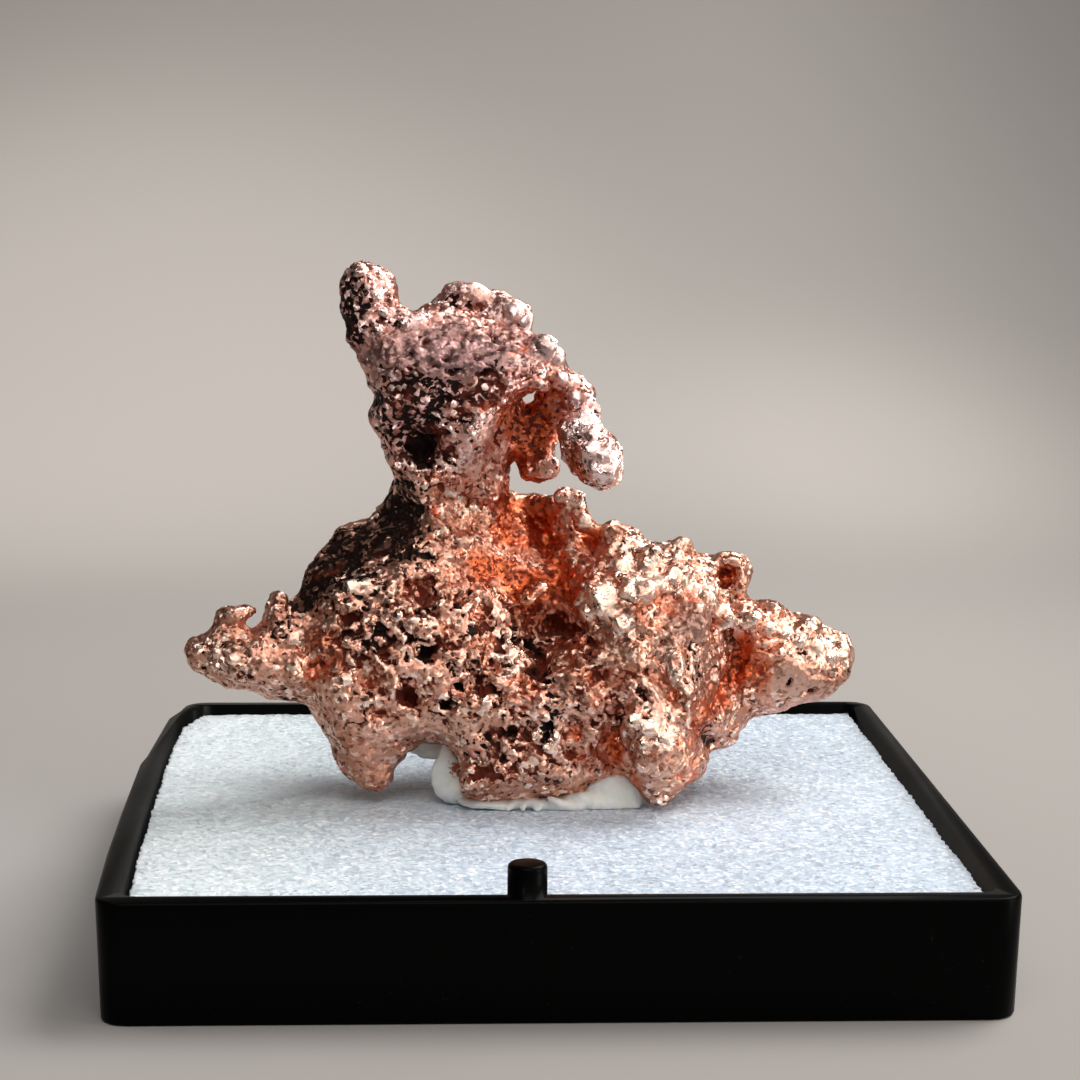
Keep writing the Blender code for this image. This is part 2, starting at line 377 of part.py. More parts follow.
def along_sight(x, z, depth):
    """The points, in metres, that lie at these depths on the lines of sight through (x, z)."""
    sight_x, sight_y, sight_z = SIGHT_POINT
    reach = (depth - sight_y) / (MEASURE_Y - sight_y)
    return np.stack([sight_x + (x - sight_x) * reach, depth + 0 * x, sight_z + (z - sight_z) * reach], -1) * MM


def smooth_surface(points):
    """A thin-plate surface through (x, z, depth) points, as a function of x and z."""
    known = np.array(points, float)
    count = len(known)

    def kernel(distance):
        return distance**2 * np.log(distance + 1e-9)

    spread = np.linalg.norm(known[:, None, :2] - known[None, :, :2], axis=-1)
    flat = np.column_stack([np.ones(count), known[:, :2]])
    system = np.block([[kernel(spread) + 0.02 * np.eye(count), flat], [flat.T, np.zeros((3, 3))]])
    weights = np.linalg.solve(system, np.concatenate([known[:, 2], np.zeros(3)]))

    def depth_at(x, z):
        distance = np.hypot(x[:, None] - known[:, 0], z[:, None] - known[:, 1])
        return kernel(distance) @ weights[:count] + weights[count] + weights[count + 1] * x + weights[count + 2] * z

    return depth_at


def dents(x, z, pits, creases):
    total = np.zeros(len(x))
    for pit_x, pit_z, radius, depth in pits:
        distance = np.hypot(x - pit_x, z - pit_z) / radius
        total += depth * np.exp(-(distance**2))
    for line, half_width, depth in creases:
        distance = line_distance(x, z, line[:-1], line[1:]) / half_width
        total += depth * np.exp(-(distance**2))
    return total


def line_distance(x, z, starts, ends):
    """How far each point is from the nearest of these straight pieces."""
    nearest = np.full(len(x), np.inf)
    for (x0, z0), (x1, z1) in zip(starts, ends):
        run_x, run_z = x1 - x0, z1 - z0
        share = np.clip(((x - x0) * run_x + (z - z0) * run_z) / (run_x**2 + run_z**2), 0, 1)
        nearest = np.minimum(nearest, np.hypot(x - x0 - share * run_x, z - z0 - share * run_z))
    return nearest


def edge_distance(x, z, outline):
    return line_distance(x, z, outline, outline[1:] + outline[:1])


def outline_points(outline):
    """The outline with points added so that none are further apart than OUTLINE_STEP."""
    found = []
    for start, end in zip(outline, outline[1:] + outline[:1]):
        start, end = Vector(start), Vector(end)
        pieces = max(1, math.ceil((end - start).length / OUTLINE_STEP))
        found += [start.lerp(end, i / pieces) for i in range(pieces)]
    return found


def add_sheet(builder, outline, front, back, rounding, front_pits=(), back_pits=(), creases=()):
    """A closed sheet with this outline, its front and back bulging out to the two surfaces."""
    rim = outline_points(outline)
    xs = [p.x for p in rim]
    zs = [p.y for p in rim]
    grid = [
        Vector((x, z))
        for x in np.arange(min(xs), max(xs), OUTLINE_STEP)
        for z in np.arange(min(zs), max(zs), OUTLINE_STEP)
    ]
    clear = edge_distance(np.array([p.x for p in grid]), np.array([p.y for p in grid]), outline)
    inner = [p for p, gap in zip(grid, clear) if gap > OUTLINE_STEP / 2]
    loop = list(range(len(rim)))
    flat, _, triangles, *_ = geometry.delaunay_2d_cdt(rim + inner, [], [loop], 1, 1e-6)
    x = np.array([p.x for p in flat])
    z = np.array([p.y for p in flat])
    depth_front = smooth_surface(front)(x, z)
    depth_back = np.maximum(smooth_surface(back)(x, z), depth_front + 0.8)
    gap = edge_distance(x, z, outline)
    fullness = np.sqrt(1 - (1 - np.clip(gap / rounding, 0, 1)) ** 2)
    middle = (depth_front + depth_back) / 2
    room = (depth_back - depth_front) / 2
    near = middle - (room - np.minimum(dents(x, z, front_pits, creases), 1.2 * room)) * fullness
    far = middle + (room - np.minimum(dents(x, z, back_pits, ()), 0.8 * room)) * fullness
    on_rim = gap < 1e-4
    near_verts = [builder.verts.new(p) for p in along_sight(x, z, near)]
    far_verts = [
        shared if rim_here else builder.verts.new(p)
        for p, shared, rim_here in zip(along_sight(x, z, far), near_verts, on_rim)
    ]
    used = set()
    for triangle in triangles:
        corners = [near_verts[i] for i in triangle]
        builder.faces.new(corners)
        used.update(triangle)
        if any(not on_rim[i] for i in triangle):
            builder.faces.new([far_verts[i] for i in reversed(triangle)])
    for i, vert in enumerate(near_verts):
        if i not in used:
            builder.verts.remove(vert)
            if far_verts[i].is_valid:
                builder.verts.remove(far_verts[i])


def add_lump(builder, x, z, depth, half_width, half_height, half_depth, turn):
    centre = along_sight(np.array([x]), np.array([z]), np.array([depth]))[0]
    sizes = Matrix.Diagonal((half_width * MM, half_depth * MM, half_height * MM, 1.0))
    place = Matrix.Translation(centre) @ Matrix.Rotation(math.radians(turn), 4, "Y") @ sizes
    bmesh.ops.create_icosphere(builder, subdivisions=2, radius=1.0, matrix=place)


def add_displace(target, name, kind, size, strength, middle):
    texture = bpy.data.textures.new(name, kind)
    texture.noise_scale = size
    if kind == "VORONOI":
        texture.distance_metric = "DISTANCE"
    modifier = target.modifiers.new(name, "DISPLACE")
    modifier.texture = texture
    modifier.texture_coords = "LOCAL"
    modifier.strength = strength
    modifier.mid_level = middle


def add_remesh(target, voxel):
    modifier = target.modifiers.new("Fuse", "REMESH")
    modifier.mode = "VOXEL"
    modifier.voxel_size = voxel


def add_decimate(target, share):
    modifier = target.modifiers.new("Facets", "DECIMATE")
    modifier.ratio = share


def make_level_cutter(material):
    """Everything lower than the gap above the foam, for the pieces that stand on it."""
    side = 40 * MM
    builder = bmesh.new()
    place = Matrix.Translation((0, 0, FOAM_TOP + FIT_GAP - side / 2))
    bmesh.ops.create_cube(builder, size=side, matrix=place)
    return make_cutter("foam_level", builder, material)


def make_nugget(material):
    builder = bmesh.new()
    add_sheet(
        builder, BODY_OUTLINE, BODY_FRONT, BODY_BACK, BODY_ROUND, BODY_PITS, BODY_BACK_PITS, BODY_CREASES,
    )
    add_sheet(builder, TOWER_OUTLINE, TOWER_FRONT, TOWER_BACK, TOWER_ROUND, TOWER_PITS, TOWER_BACK_PITS)
    add_sheet(builder, CREST_OUTLINE, CREST_FRONT, CREST_BACK, TOWER_ROUND)
    add_sheet(builder, ARM_OUTLINE, ARM_FRONT, ARM_BACK, TOWER_ROUND)
    add_sheet(builder, WEB_OUTLINE, WEB_FRONT, WEB_BACK, WEB_ROUND)
    for lump in LUMPS:
        add_lump(builder, *lump)
    bmesh.ops.recalc_face_normals(builder, faces=builder.faces)
    nugget = make_object("copper_nugget", builder, material)
    add_remesh(nugget, NUGGET_VOXEL)
    add_displace(nugget, "Swells", "CLOUDS", SWELL_SIZE, SWELL_DEPTH, SWELL_LEVEL)
    add_displace(nugget, "Nodules", "VORONOI", NODULE_SIZE, -NODULE_DEPTH, NODULE_LEVEL)
    add_decimate(nugget, NUGGET_TRIANGLE_SHARE)
    add_boolean(nugget, make_level_cutter(material), "DIFFERENCE")
    return nugget


def make_putty(material, nugget):
    builder = bmesh.new()
    for x, y, z, half_width, half_depth, half_height in PUTTY_LUMPS:
        sizes = Matrix.Diagonal((half_width * MM, half_depth * MM, half_height * MM, 1.0))
        place = Matrix.Translation(Vector((x, y, z)) * MM) @ sizes
        bmesh.ops.create_icosphere(builder, subdivisions=3, radius=1.0, matrix=place)
    putty = make_object("putty", builder, material)
    add_remesh(putty, PUTTY_VOXEL)
    add_decimate(putty, PUTTY_TRIANGLE_SHARE)

    add_boolean(putty, bpy.data.objects["foam_level"], "DIFFERENCE")

    cutter = nugget.copy()
    cutter.name = "nugget_swollen"
    cutter.hide_render = True
    cutter.display_type = "WIRE"
    bpy.context.scene.collection.objects.link(cutter)
    swell = cutter.modifiers.new("Gap", "DISPLACE")
    swell.strength = FIT_GAP
    swell.mid_level = 0.0
    add_boolean(putty, cutter, "DIFFERENCE")
    return putty


def shade(target, angle):
    target.data.shade_smooth()
    target.data.set_sharp_from_angle(angle=math.radians(angle))


def main():
    clear_scene()
    black_plastic = make_material("black_plastic", (0.012, 0.012, 0.013), 0.2, 0.0)
    white_foam = make_material("white_foam", (0.80, 0.84, 0.88), 0.75, 0.0)
    pale_putty = make_material("pale_putty", (0.72, 0.74, 0.64), 0.5, 0.0)
    copper = make_material("native_copper", (0.80, 0.42, 0.30), 0.25, 1.0)
    shade(make_tray(black_plastic), 40)
    shade(make_foam(white_foam), 40)
    nugget = make_nugget(copper)
    make_putty(pale_putty, nugget)


main()
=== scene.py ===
import math
import random

import bmesh
import bpy
import numpy as np
from mathutils import Euler, Matrix, Vector, kdtree
from mathutils.bvhtree import BVHTree


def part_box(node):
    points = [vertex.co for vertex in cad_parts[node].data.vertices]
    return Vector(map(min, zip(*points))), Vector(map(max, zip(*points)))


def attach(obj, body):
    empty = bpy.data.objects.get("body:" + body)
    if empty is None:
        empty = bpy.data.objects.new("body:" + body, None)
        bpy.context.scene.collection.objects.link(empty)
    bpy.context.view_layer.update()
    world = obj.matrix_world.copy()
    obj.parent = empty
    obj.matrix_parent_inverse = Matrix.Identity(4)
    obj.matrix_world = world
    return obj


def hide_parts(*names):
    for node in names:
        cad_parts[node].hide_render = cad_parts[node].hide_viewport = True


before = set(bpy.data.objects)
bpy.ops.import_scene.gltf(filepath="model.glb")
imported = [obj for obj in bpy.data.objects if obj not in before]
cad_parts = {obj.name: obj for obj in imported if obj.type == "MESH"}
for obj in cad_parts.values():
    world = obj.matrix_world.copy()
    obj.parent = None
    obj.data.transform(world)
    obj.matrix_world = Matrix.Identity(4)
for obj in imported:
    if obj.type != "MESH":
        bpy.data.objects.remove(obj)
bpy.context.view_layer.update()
mm = 0.001


# a node socket that takes Python's operators, so that shader maths reads as maths
class Wire:
    def __init__(self, finish, socket):
        self.finish = finish
        self.socket = socket

    def maths(self, operation, *values):
        return self.finish.node("Math", {"operation": operation}, dict(enumerate(values)))

    def __add__(self, other):
        return self.maths("ADD", self, other)

    def __radd__(self, other):
        return self.maths("ADD", other, self)

    def __sub__(self, other):
        return self.maths("SUBTRACT", self, other)

    def __rsub__(self, other):
        return self.maths("SUBTRACT", other, self)

    def __mul__(self, other):
        return self.maths("MULTIPLY", self, other)

    def __rmul__(self, other):
        return self.maths("MULTIPLY", other, self)

    def most(self, other):
        return self.maths("MAXIMUM", self, other)

    def step(self, low, high):  # 0 below low, 1 above high, smooth between
        ramp = {"From Min": low, "From Max": high, "Value": self}
        return self.finish.node("MapRange", {"interpolation_type": "SMOOTHSTEP"}, ramp)


class Finish:
    def __init__(self, holder):
        holder.use_nodes = True
        self.tree = holder.node_tree
        self.holder = holder
        self.tree.nodes.clear()

    def node(self, kind, settings, values, output=0):
        made = self.tree.nodes.new("ShaderNode" + kind)
        for name, value in settings.items():
            setattr(made, name, value)
        for name, value in values.items():
            socket = made.inputs[name]
            if isinstance(value, Wire):
                self.tree.links.new(value.socket, socket)
            else:
                socket.default_value = value
        return Wire(self, made.outputs[output]) if made.outputs else None

    def place(self):  # the point on the piece, in metres
        return self.node("TexCoord", {}, {}, 3)

    def along(self, axis, place):
        return self.node("SeparateXYZ", {}, {0: place}, "xyz".index(axis))

    def mixColour(self, share, low, high):
        low = low if isinstance(low, Wire) else (*low, 1.0)
        high = high if isinstance(high, Wire) else (*high, 1.0)
        return self.node("Mix", {"data_type": "RGBA"}, {0: share, 6: low, 7: high}, 2)

    def noise(self, place, size, detail=2.0, roughness=0.5):
        values = {"Vector": place, "Scale": 1 / size, "Detail": detail, "Roughness": roughness}
        return self.node("TexNoise", {}, values)

    def cells(self, place, size, output=0):  # how far the cell's middle is, or its random colour with 1
        return self.node("TexVoronoi", {}, {"Vector": place, "Scale": 1 / size}, output)

    def chance(self, place, size):  # a random number from 0 to 1 for each small cell
        return self.node("SeparateColor", {}, {0: self.cells(place, size, 1)})

    def facets(self, normal, place, size, amount):  # a normal that leans its own way in each small cell
        lean = self.cells(place, size, 1)
        lean = self.node("VectorMath", {"operation": "SUBTRACT"}, {0: lean, 1: (0.5, 0.5, 0.5)})
        lean = self.node("VectorMath", {"operation": "SCALE"}, {0: lean, "Scale": amount})
        lean = self.node("VectorMath", {"operation": "ADD"}, {0: lean, 1: normal})
        return self.node("VectorMath", {"operation": "NORMALIZE"}, {0: lean})

    def surface(self, values):
        shader = self.node("BsdfPrincipled", {}, values)
        self.node("OutputMaterial", {}, {"Surface": shader})
        return self.holder


def newFinish(name):
    return Finish(bpy.data.materials.new(name))


# small modelling helpers
def onlySelect(piece):
    bpy.ops.object.select_all(action="DESELECT")
    piece.select_set(True)
    bpy.context.view_layer.objects.active = piece


def applyModifiers(piece):
    onlySelect(piece)
    for modifier in list(piece.modifiers):
        bpy.ops.object.modifier_apply(modifier=modifier.name)


def copyOfNode(node, name):
    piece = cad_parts[node].copy()
    piece.data = piece.data.copy()
    piece.name = name
    piece.parent = None
    for key in list(piece.keys()):
        del piece[key]
    bpy.context.scene.collection.objects.link(piece)
    onlySelect(piece)
    bpy.ops.object.mode_set(mode="EDIT")
    bpy.ops.mesh.select_all(action="SELECT")
    bpy.ops.mesh.remove_doubles(threshold=0.001 * mm)
    bpy.ops.object.mode_set(mode="OBJECT")
    return piece


def joinTo(piece, others):
    onlySelect(piece)
    for other in others:
        other.select_set(True)
    bpy.ops.object.join()


def addRemesh(piece, voxel):
    remesh = piece.modifiers.new("remesh", "REMESH")
    remesh.mode = "VOXEL"
    remesh.voxel_size = voxel
    remesh.use_smooth_shade = True


def addSmooth(piece, factor, rounds):
    smooth = piece.modifiers.new("smooth", "SMOOTH")
    smooth.factor = factor
    smooth.iterations = rounds


def addRelief(piece, name, layer, guide=None):
    texture = bpy.data.textures.new(name, layer["kind"])
    texture.noise_scale = layer["size"] * mm
    for setting, value in layer.get("pattern", {}).items():
        setattr(texture, setting, value)
    if "edge" in layer:  # a sharp edged pattern, low below the first value and high above the second
        texture.use_color_ramp = True
        for element, place, shade in zip(texture.color_ramp.elements, layer["edge"], (0.0, 1.0)):
            element.position = place
            element.color = (shade, shade, shade, 1.0)
    relief = piece.modifiers.new(name, "DISPLACE")
    relief.texture = texture
    relief.texture_coords = "OBJECT" if guide else "LOCAL"
    relief.texture_coords_object = guide
    relief.strength = layer["height"] * mm
    relief.mid_level = layer.get("level", 0.5)
    relief.vertex_group = layer.get("zone", "")


def meshArrays(piece):
    mesh = piece.data
    places = np.empty(len(mesh.vertices) * 3)
    mesh.vertices.foreach_get("co", places)
    edges = np.empty(len(mesh.edges) * 2, int)
    mesh.edges.foreach_get("vertices", edges)
    normals = np.empty(len(mesh.vertices) * 3)
    mesh.vertices.foreach_get("normal", normals)
    return places.reshape(-1, 3), edges.reshape(-1, 2), normals.reshape(-1, 3)


def moveTo(piece, places):
    piece.data.vertices.foreach_set("co", places.ravel())
    piece.data.update()


def relaxed(values, edges, rounds):  # each point's values drawn towards those of its neighbours
    count = np.bincount(edges.ravel(), minlength=len(values))[:, None]
    for _ in range(rounds):
        total = np.zeros_like(values)
        for column in range(values.shape[1]):
            total[:, column] += np.bincount(edges[:, 0], values[edges[:, 1], column], len(values))
            total[:, column] += np.bincount(edges[:, 1], values[edges[:, 0], column], len(values))
        values = 0.3 * values + 0.7 * total / count
    return values


def wobble(places, size, seed):  # soft random waves, mostly between -1 and 1
    chooser = np.random.default_rng(seed)
    total = np.zeros(len(places))
    for _ in range(8):
        way = chooser.normal(size=3) * 2.2 / size
        total += np.sin(places @ way + chooser.uniform(0, 2 * math.pi))
    return total / 3


def storeAttribute(piece, name, values):
    attribute = piece.data.attributes.new(name, "FLOAT", "POINT")
    attribute.data.foreach_set("value", np.asarray(values, np.float32))


def setWeights(piece, name, weights):  # in steps of a twentieth
    group = piece.vertex_groups.new(name=name)
    levels = np.round(np.clip(weights, 0, 1) * 20).astype(int)
    for level in range(1, 21):
        chosen = np.nonzero(levels == level)[0]
        group.add(chosen.tolist(), level / 20, "REPLACE")


def finishPiece(piece, material, node):
    piece.data.materials.clear()
    piece.data.materials.append(material)
    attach(piece, "root")
    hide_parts(node)
    piece.data.calc_loop_triangles()
    print(piece.name + ":", len(piece.data.loop_triangles), "triangles")


camera = {
    "place": (-4.37 * mm, -96.64 * mm, 28.87 * mm),
    "turn": -2.47,  # degrees, to the right
    "down": 8.474,
    "tilt": 0.432,
    "lens": 81.67,
    "sensor": 36.0,
    "clip": (1 * mm, 10),
}


def addCamera():
    lens = bpy.data.cameras.new("camera")
    lens.lens = camera["lens"]
    lens.sensor_width = camera["sensor"]
    lens.clip_start, lens.clip_end = camera["clip"]
    viewer = bpy.data.objects.new("camera", lens)
    aim = Euler((math.radians(90 - camera["down"]), 0, math.radians(camera["turn"]))).to_matrix()
    turned = aim @ Matrix.Rotation(math.radians(camera["tilt"]), 3, "Z")
    viewer.matrix_world = Matrix.Translation(camera["place"]) @ turned.to_4x4()
    bpy.context.scene.collection.objects.link(viewer)
    bpy.context.scene.camera = viewer
    print("camera set")


stage = {
    "shade": (0.41, 0.39, 0.372),
    "paintedShadeRight": (0.24, 0.228, 0.218),  # painted shade, darker to the right
    "paintedShadeFront": (0.35, 0.333, 0.318),  # painted shade, darker in front of the tray
    "paintedShadeRightFade": (22 * mm, 72 * mm),
    "paintedShadeFrontFade": (-20 * mm, 60 * mm),
    "halfWidth": 900 * mm,
    "front": -900 * mm,
    "bend": 70 * mm,  # where the floor starts to rise, behind the tray
    "radius": 130 * mm,
    "height": 700 * mm,
}


def addStage():
    # a floor strip whose back edge is spun up into a wall
    bpy.ops.object.select_all(action="DESELECT")
    depth = stage["bend"] - stage["front"]
    bpy.ops.mesh.primitive_plane_add(size=1, location=(0, stage["bend"] - depth / 2, 0))
    sweep = bpy.context.object
    sweep.name = "sweep"
    sweep.scale = (2 * stage["halfWidth"], depth, 1)
    bpy.ops.object.transform_apply(location=True, rotation=True, scale=True)
    bpy.ops.object.mode_set(mode="EDIT")
    builder = bmesh.from_edit_mesh(sweep.data)
    for edge in builder.edges:
        edge.select = all(v.co.y > stage["bend"] - mm for v in edge.verts)
    bmesh.update_edit_mesh(sweep.data)
    bpy.ops.mesh.select_mode(type="EDGE")
    middle = (0, stage["bend"], stage["radius"])
    bpy.ops.mesh.spin(steps=16, angle=math.radians(90), center=middle, axis=(-1, 0, 0))
    bpy.ops.mesh.extrude_region_move(TRANSFORM_OT_translate={"value": (0, 0, stage["height"])})
    bpy.ops.object.mode_set(mode="OBJECT")
    sweep.data.shade_smooth()
    finish = newFinish("sweepPaintedShade")
    across, back = (finish.along(axis, finish.place()) for axis in "xy")
    # painted shade: the paint darkens to the right and in front of the tray
    shade = finish.mixColour(across.step(*stage["paintedShadeRightFade"]), stage["shade"], stage["paintedShadeRight"])
    shade = finish.mixColour(back.step(*stage["paintedShadeFrontFade"]), stage["paintedShadeFront"], shade)
    sweep.data.materials.append(finish.surface({"Base Color": shade, "Roughness": 0.9}))
    print("sweep set")


lights = {
    # name: place and aim in mm, size in mm, brightness of its face, colour, spread in degrees
    "keyBack": ((143, 68, 219), (0, 0, 12), (180, 165), 3.6, (1.0, 0.97, 0.94), 120),
    "topFront": ((-5, -150, 200), (0, 0, 10), (190, 80), 1.18, (1.0, 0.97, 0.95), 100),
    "right": ((160, -70, 45), (0, 0, 12), (70, 100), 1.4, (1.0, 0.93, 0.87), 90),
}

# soft pools of light, two behind and one at the left: place and aim in mm, width in degrees, power, colour
pools = [
    ((-45, 54, 150), (-36, 124, 12), 46, 0.45, (1.0, 0.94, 0.88)),
    ((44, 44, 150), (31, 114, -6), 20, 0.37, (1.0, 0.94, 0.87)),
    ((-52, 0, 80), (-34, -2, 0), 34, 0.10, (0.92, 0.96, 1.0)),
]
poolSoftness = 12 * mm


def aimed(kind, name, place, aim, colour):
    lamp = bpy.data.lights.new(name, kind)
    lamp.color = colour
    holder = bpy.data.objects.new(name, lamp)
    holder.location = Vector(place) * mm
    holder.rotation_euler = (Vector(aim) * mm - holder.location).to_track_quat("-Z", "Y").to_euler()
    bpy.context.scene.collection.objects.link(holder)
    return lamp


def addLights():
    for name, (place, aim, size, brightness, colour, spread) in lights.items():
        lamp = aimed("AREA", name, place, aim, colour)
        lamp.shape = "RECTANGLE"
        lamp.size = size[0] * mm
        lamp.size_y = size[1] * mm
        lamp.spread = math.radians(spread)
        lamp.energy = brightness * math.pi * lamp.size * lamp.size_y
    for number, (place, aim, width, power, colour) in enumerate(pools):
        lamp = aimed("SPOT", f"pool{number + 1}", place, aim, colour)
        lamp.spot_size = math.radians(width)
        lamp.spot_blend = 1.0
        lamp.shadow_soft_size = poolSoftness
        lamp.energy = power
    print("lights set:", len(lights) + len(pools))


room = {
    "tint": (1.0, 0.95, 0.9, 1.0),
    # strengths of the soft glow, from all round and from three sides
    "glow": 0.02,
    "rightGlow": 0.35,
    "topGlow": 0.25,
    "frontGlow": 0.30,
}


def addWorld():
    world = bpy.data.worlds.new("studio")
    bpy.context.scene.world = world
    finish = Finish(world)
    way = finish.node("TexCoord", {}, {}, 0)
    across, back, up = (finish.along(axis, way) for axis in "xyz")
    notLeft = across.step(-0.7, 0.1)
    strength = room["glow"] + room["rightGlow"] * across.step(-0.1, 0.9)
    strength = strength + room["topGlow"] * up.step(0.15, 0.9) * notLeft
    strength = strength + room["frontGlow"] * (0 - back).step(0.1, 1) * up.step(-0.2, 0.2) * notLeft
    sky = finish.node("Background", {}, {"Color": room["tint"], "Strength": strength})
    finish.node("OutputWorld", {}, {"Surface": sky})
    print("room light set")


nugget = {
    "voxel": 0.085 * mm,
    "rounding": 8,
    "triangles": 195000,
    "plane": -1.0 * mm,  # knobs, crystals and zones are measured across this upright plane, from the camera
    "grainLean": -25,  # degrees, of the drawn out pits
    "grainStretch": 1.6,
    "wornRounds": 150,  # of smoothing, in the worn zones
    "frontRounds": 12,  # of smoothing, before the normals say which side is the front
    "sunkDepth": 0.2,  # mm, of a pit that is fully stained
    "knobDepth": 0.7,  # of the knob's larger half size
    "knobSink": 0.3,  # of the knob's depth
    "crystalSink": 0.12,  # of the crystal's edge
    "crystalFace": (0.06, -0.78, 0.60),  # where one face of each crystal looks, give or take the spread
    "crystalSpread": 14,  # degrees
    "crystalTwist": 45,  # degrees, about that way
    "hollows": {  # rounds of smoothing and depth in mm of a full hollow
        "fineHollow": (6, 0.05),
        "hollow": (60, 0.25),
    },
    "rays": 40,  # from each face, to see how much the nugget shelters it
    "rayLift": 0.15 * mm,
    "rayReach": 8 * mm,
    "knobs": [  # x, z, half width, half height in mm and lean in degrees
        (-3.05, 24.25, 0.95, 0.48, -4), (-1.35, 23.6, 0.85, 0.55, -28), (-7.3, 24.8, 0.40, 0.45, 0),
        (0.0, 17.5, 0.55, 0.55, 0), (2.2, 17.7, 0.75, 1.15, 30),
    ],
    "crystals": [  # x, z, edge in mm
        (2.2, 12.2, 1.0), (2.6, 11.6, 0.6), (1.7, 11.7, 0.6), (3.4, 12.5, 0.75), (4.0, 12.5, 0.7),
        (4.5, 12.9, 0.6), (3.0, 11.2, 0.6), (0.0, 22.2, 0.75), (0.4, 21.8, 0.5), (1.2, 16.3, 0.6),
        (1.7, 15.9, 0.6), (1.5, 15.4, 0.5), (3.0, 13.6, 0.6), (4.0, 13.6, 0.6), (5.0, 13.2, 0.6),
        (6.0, 12.6, 0.5), (7.1, 11.5, 0.8), (7.7, 10.9, 0.5), (1.1, 20.2, 0.45), (1.5, 19.5, 0.5),
        (1.8, 18.8, 0.45), (1.7, 18.2, 0.55), (2.3, 18.0, 0.5), (2.5, 17.3, 0.6), (1.9, 17.4, 0.45),
        (2.9, 16.7, 0.45), (-6.6, 24.2, 0.4), (-6.4, 23.6, 0.35), (-6.6, 22.9, 0.35), (-5.6, 23.1, 0.4),
        (-5.0, 23.3, 0.4), (-1.3, 23.6, 0.55), (-0.8, 23.2, 0.5), (10.2, 10.6, 0.55), (10.9, 10.3, 0.5),
        (9.6, 10.9, 0.4), (11.5, 9.9, 0.45), (12.0, 9.6, 0.4), (8.4, 11.5, 0.4), (9.0, 11.1, 0.4),
        (3.5, 7.3, 0.5), (4.2, 7.0, 0.6), (4.8, 6.6, 0.45), (4.0, 6.4, 0.4), (0.5, 6.6, 0.35),
        (-1.3, 10.0, 0.5), (-1.2, 9.4, 0.4), (-7.7, 12.8, 0.5), (-7.1, 12.9, 0.4), (-2.0, 12.9, 0.4),
        (-1.3, 12.6, 0.45), (-0.6, 12.2, 0.4), (-2.3, 8.1, 0.4), (-7.9, 9.0, 0.4), (-12.4, 9.8, 0.4),
        (-13.0, 10.1, 0.35), (-0.2, 21.2, 0.35), (0.6, 21.0, 0.35), (-5.8, 11.6, 0.35),
        (0.1, 7.4, 0.35), (6.6, 12.3, 0.35),
    ],
}

# relief layers: size and height in mm, the pattern level that stays put, and the zone that has it
reliefs = {
    "swells": {"kind": "CLOUDS", "size": 1.0, "height": 0.26, "zone": "unworn"},
    "lumps": {"kind": "CLOUDS", "size": 0.40, "height": 0.10, "zone": "anywhere", "grained": True},
    "beads": {"kind": "VORONOI", "size": 0.42, "height": -0.22, "level": 0.45, "zone": "beaded"},
    "beadlets": {"kind": "VORONOI", "size": 0.24, "height": -0.08, "level": 0.45, "zone": "beaded"},
    "pits": {
        "kind": "VORONOI", "size": 0.46, "height": -0.26, "level": 0.0, "edge": (0.62, 0.72),
        "zone": "pitted", "grained": True,
    },
    "cracks": {
        "kind": "CLOUDS", "size": 0.48, "height": -0.22, "level": 0.0, "edge": (0.57, 0.65),
        "zone": "pitted", "grained": True, "pattern": {"noise_depth": 3},
    },
    "nicks": {
        "kind": "VORONOI", "size": 0.22, "height": -0.10, "level": 0.0, "edge": (0.66, 0.74),
        "zone": "anywhere",
    },
}

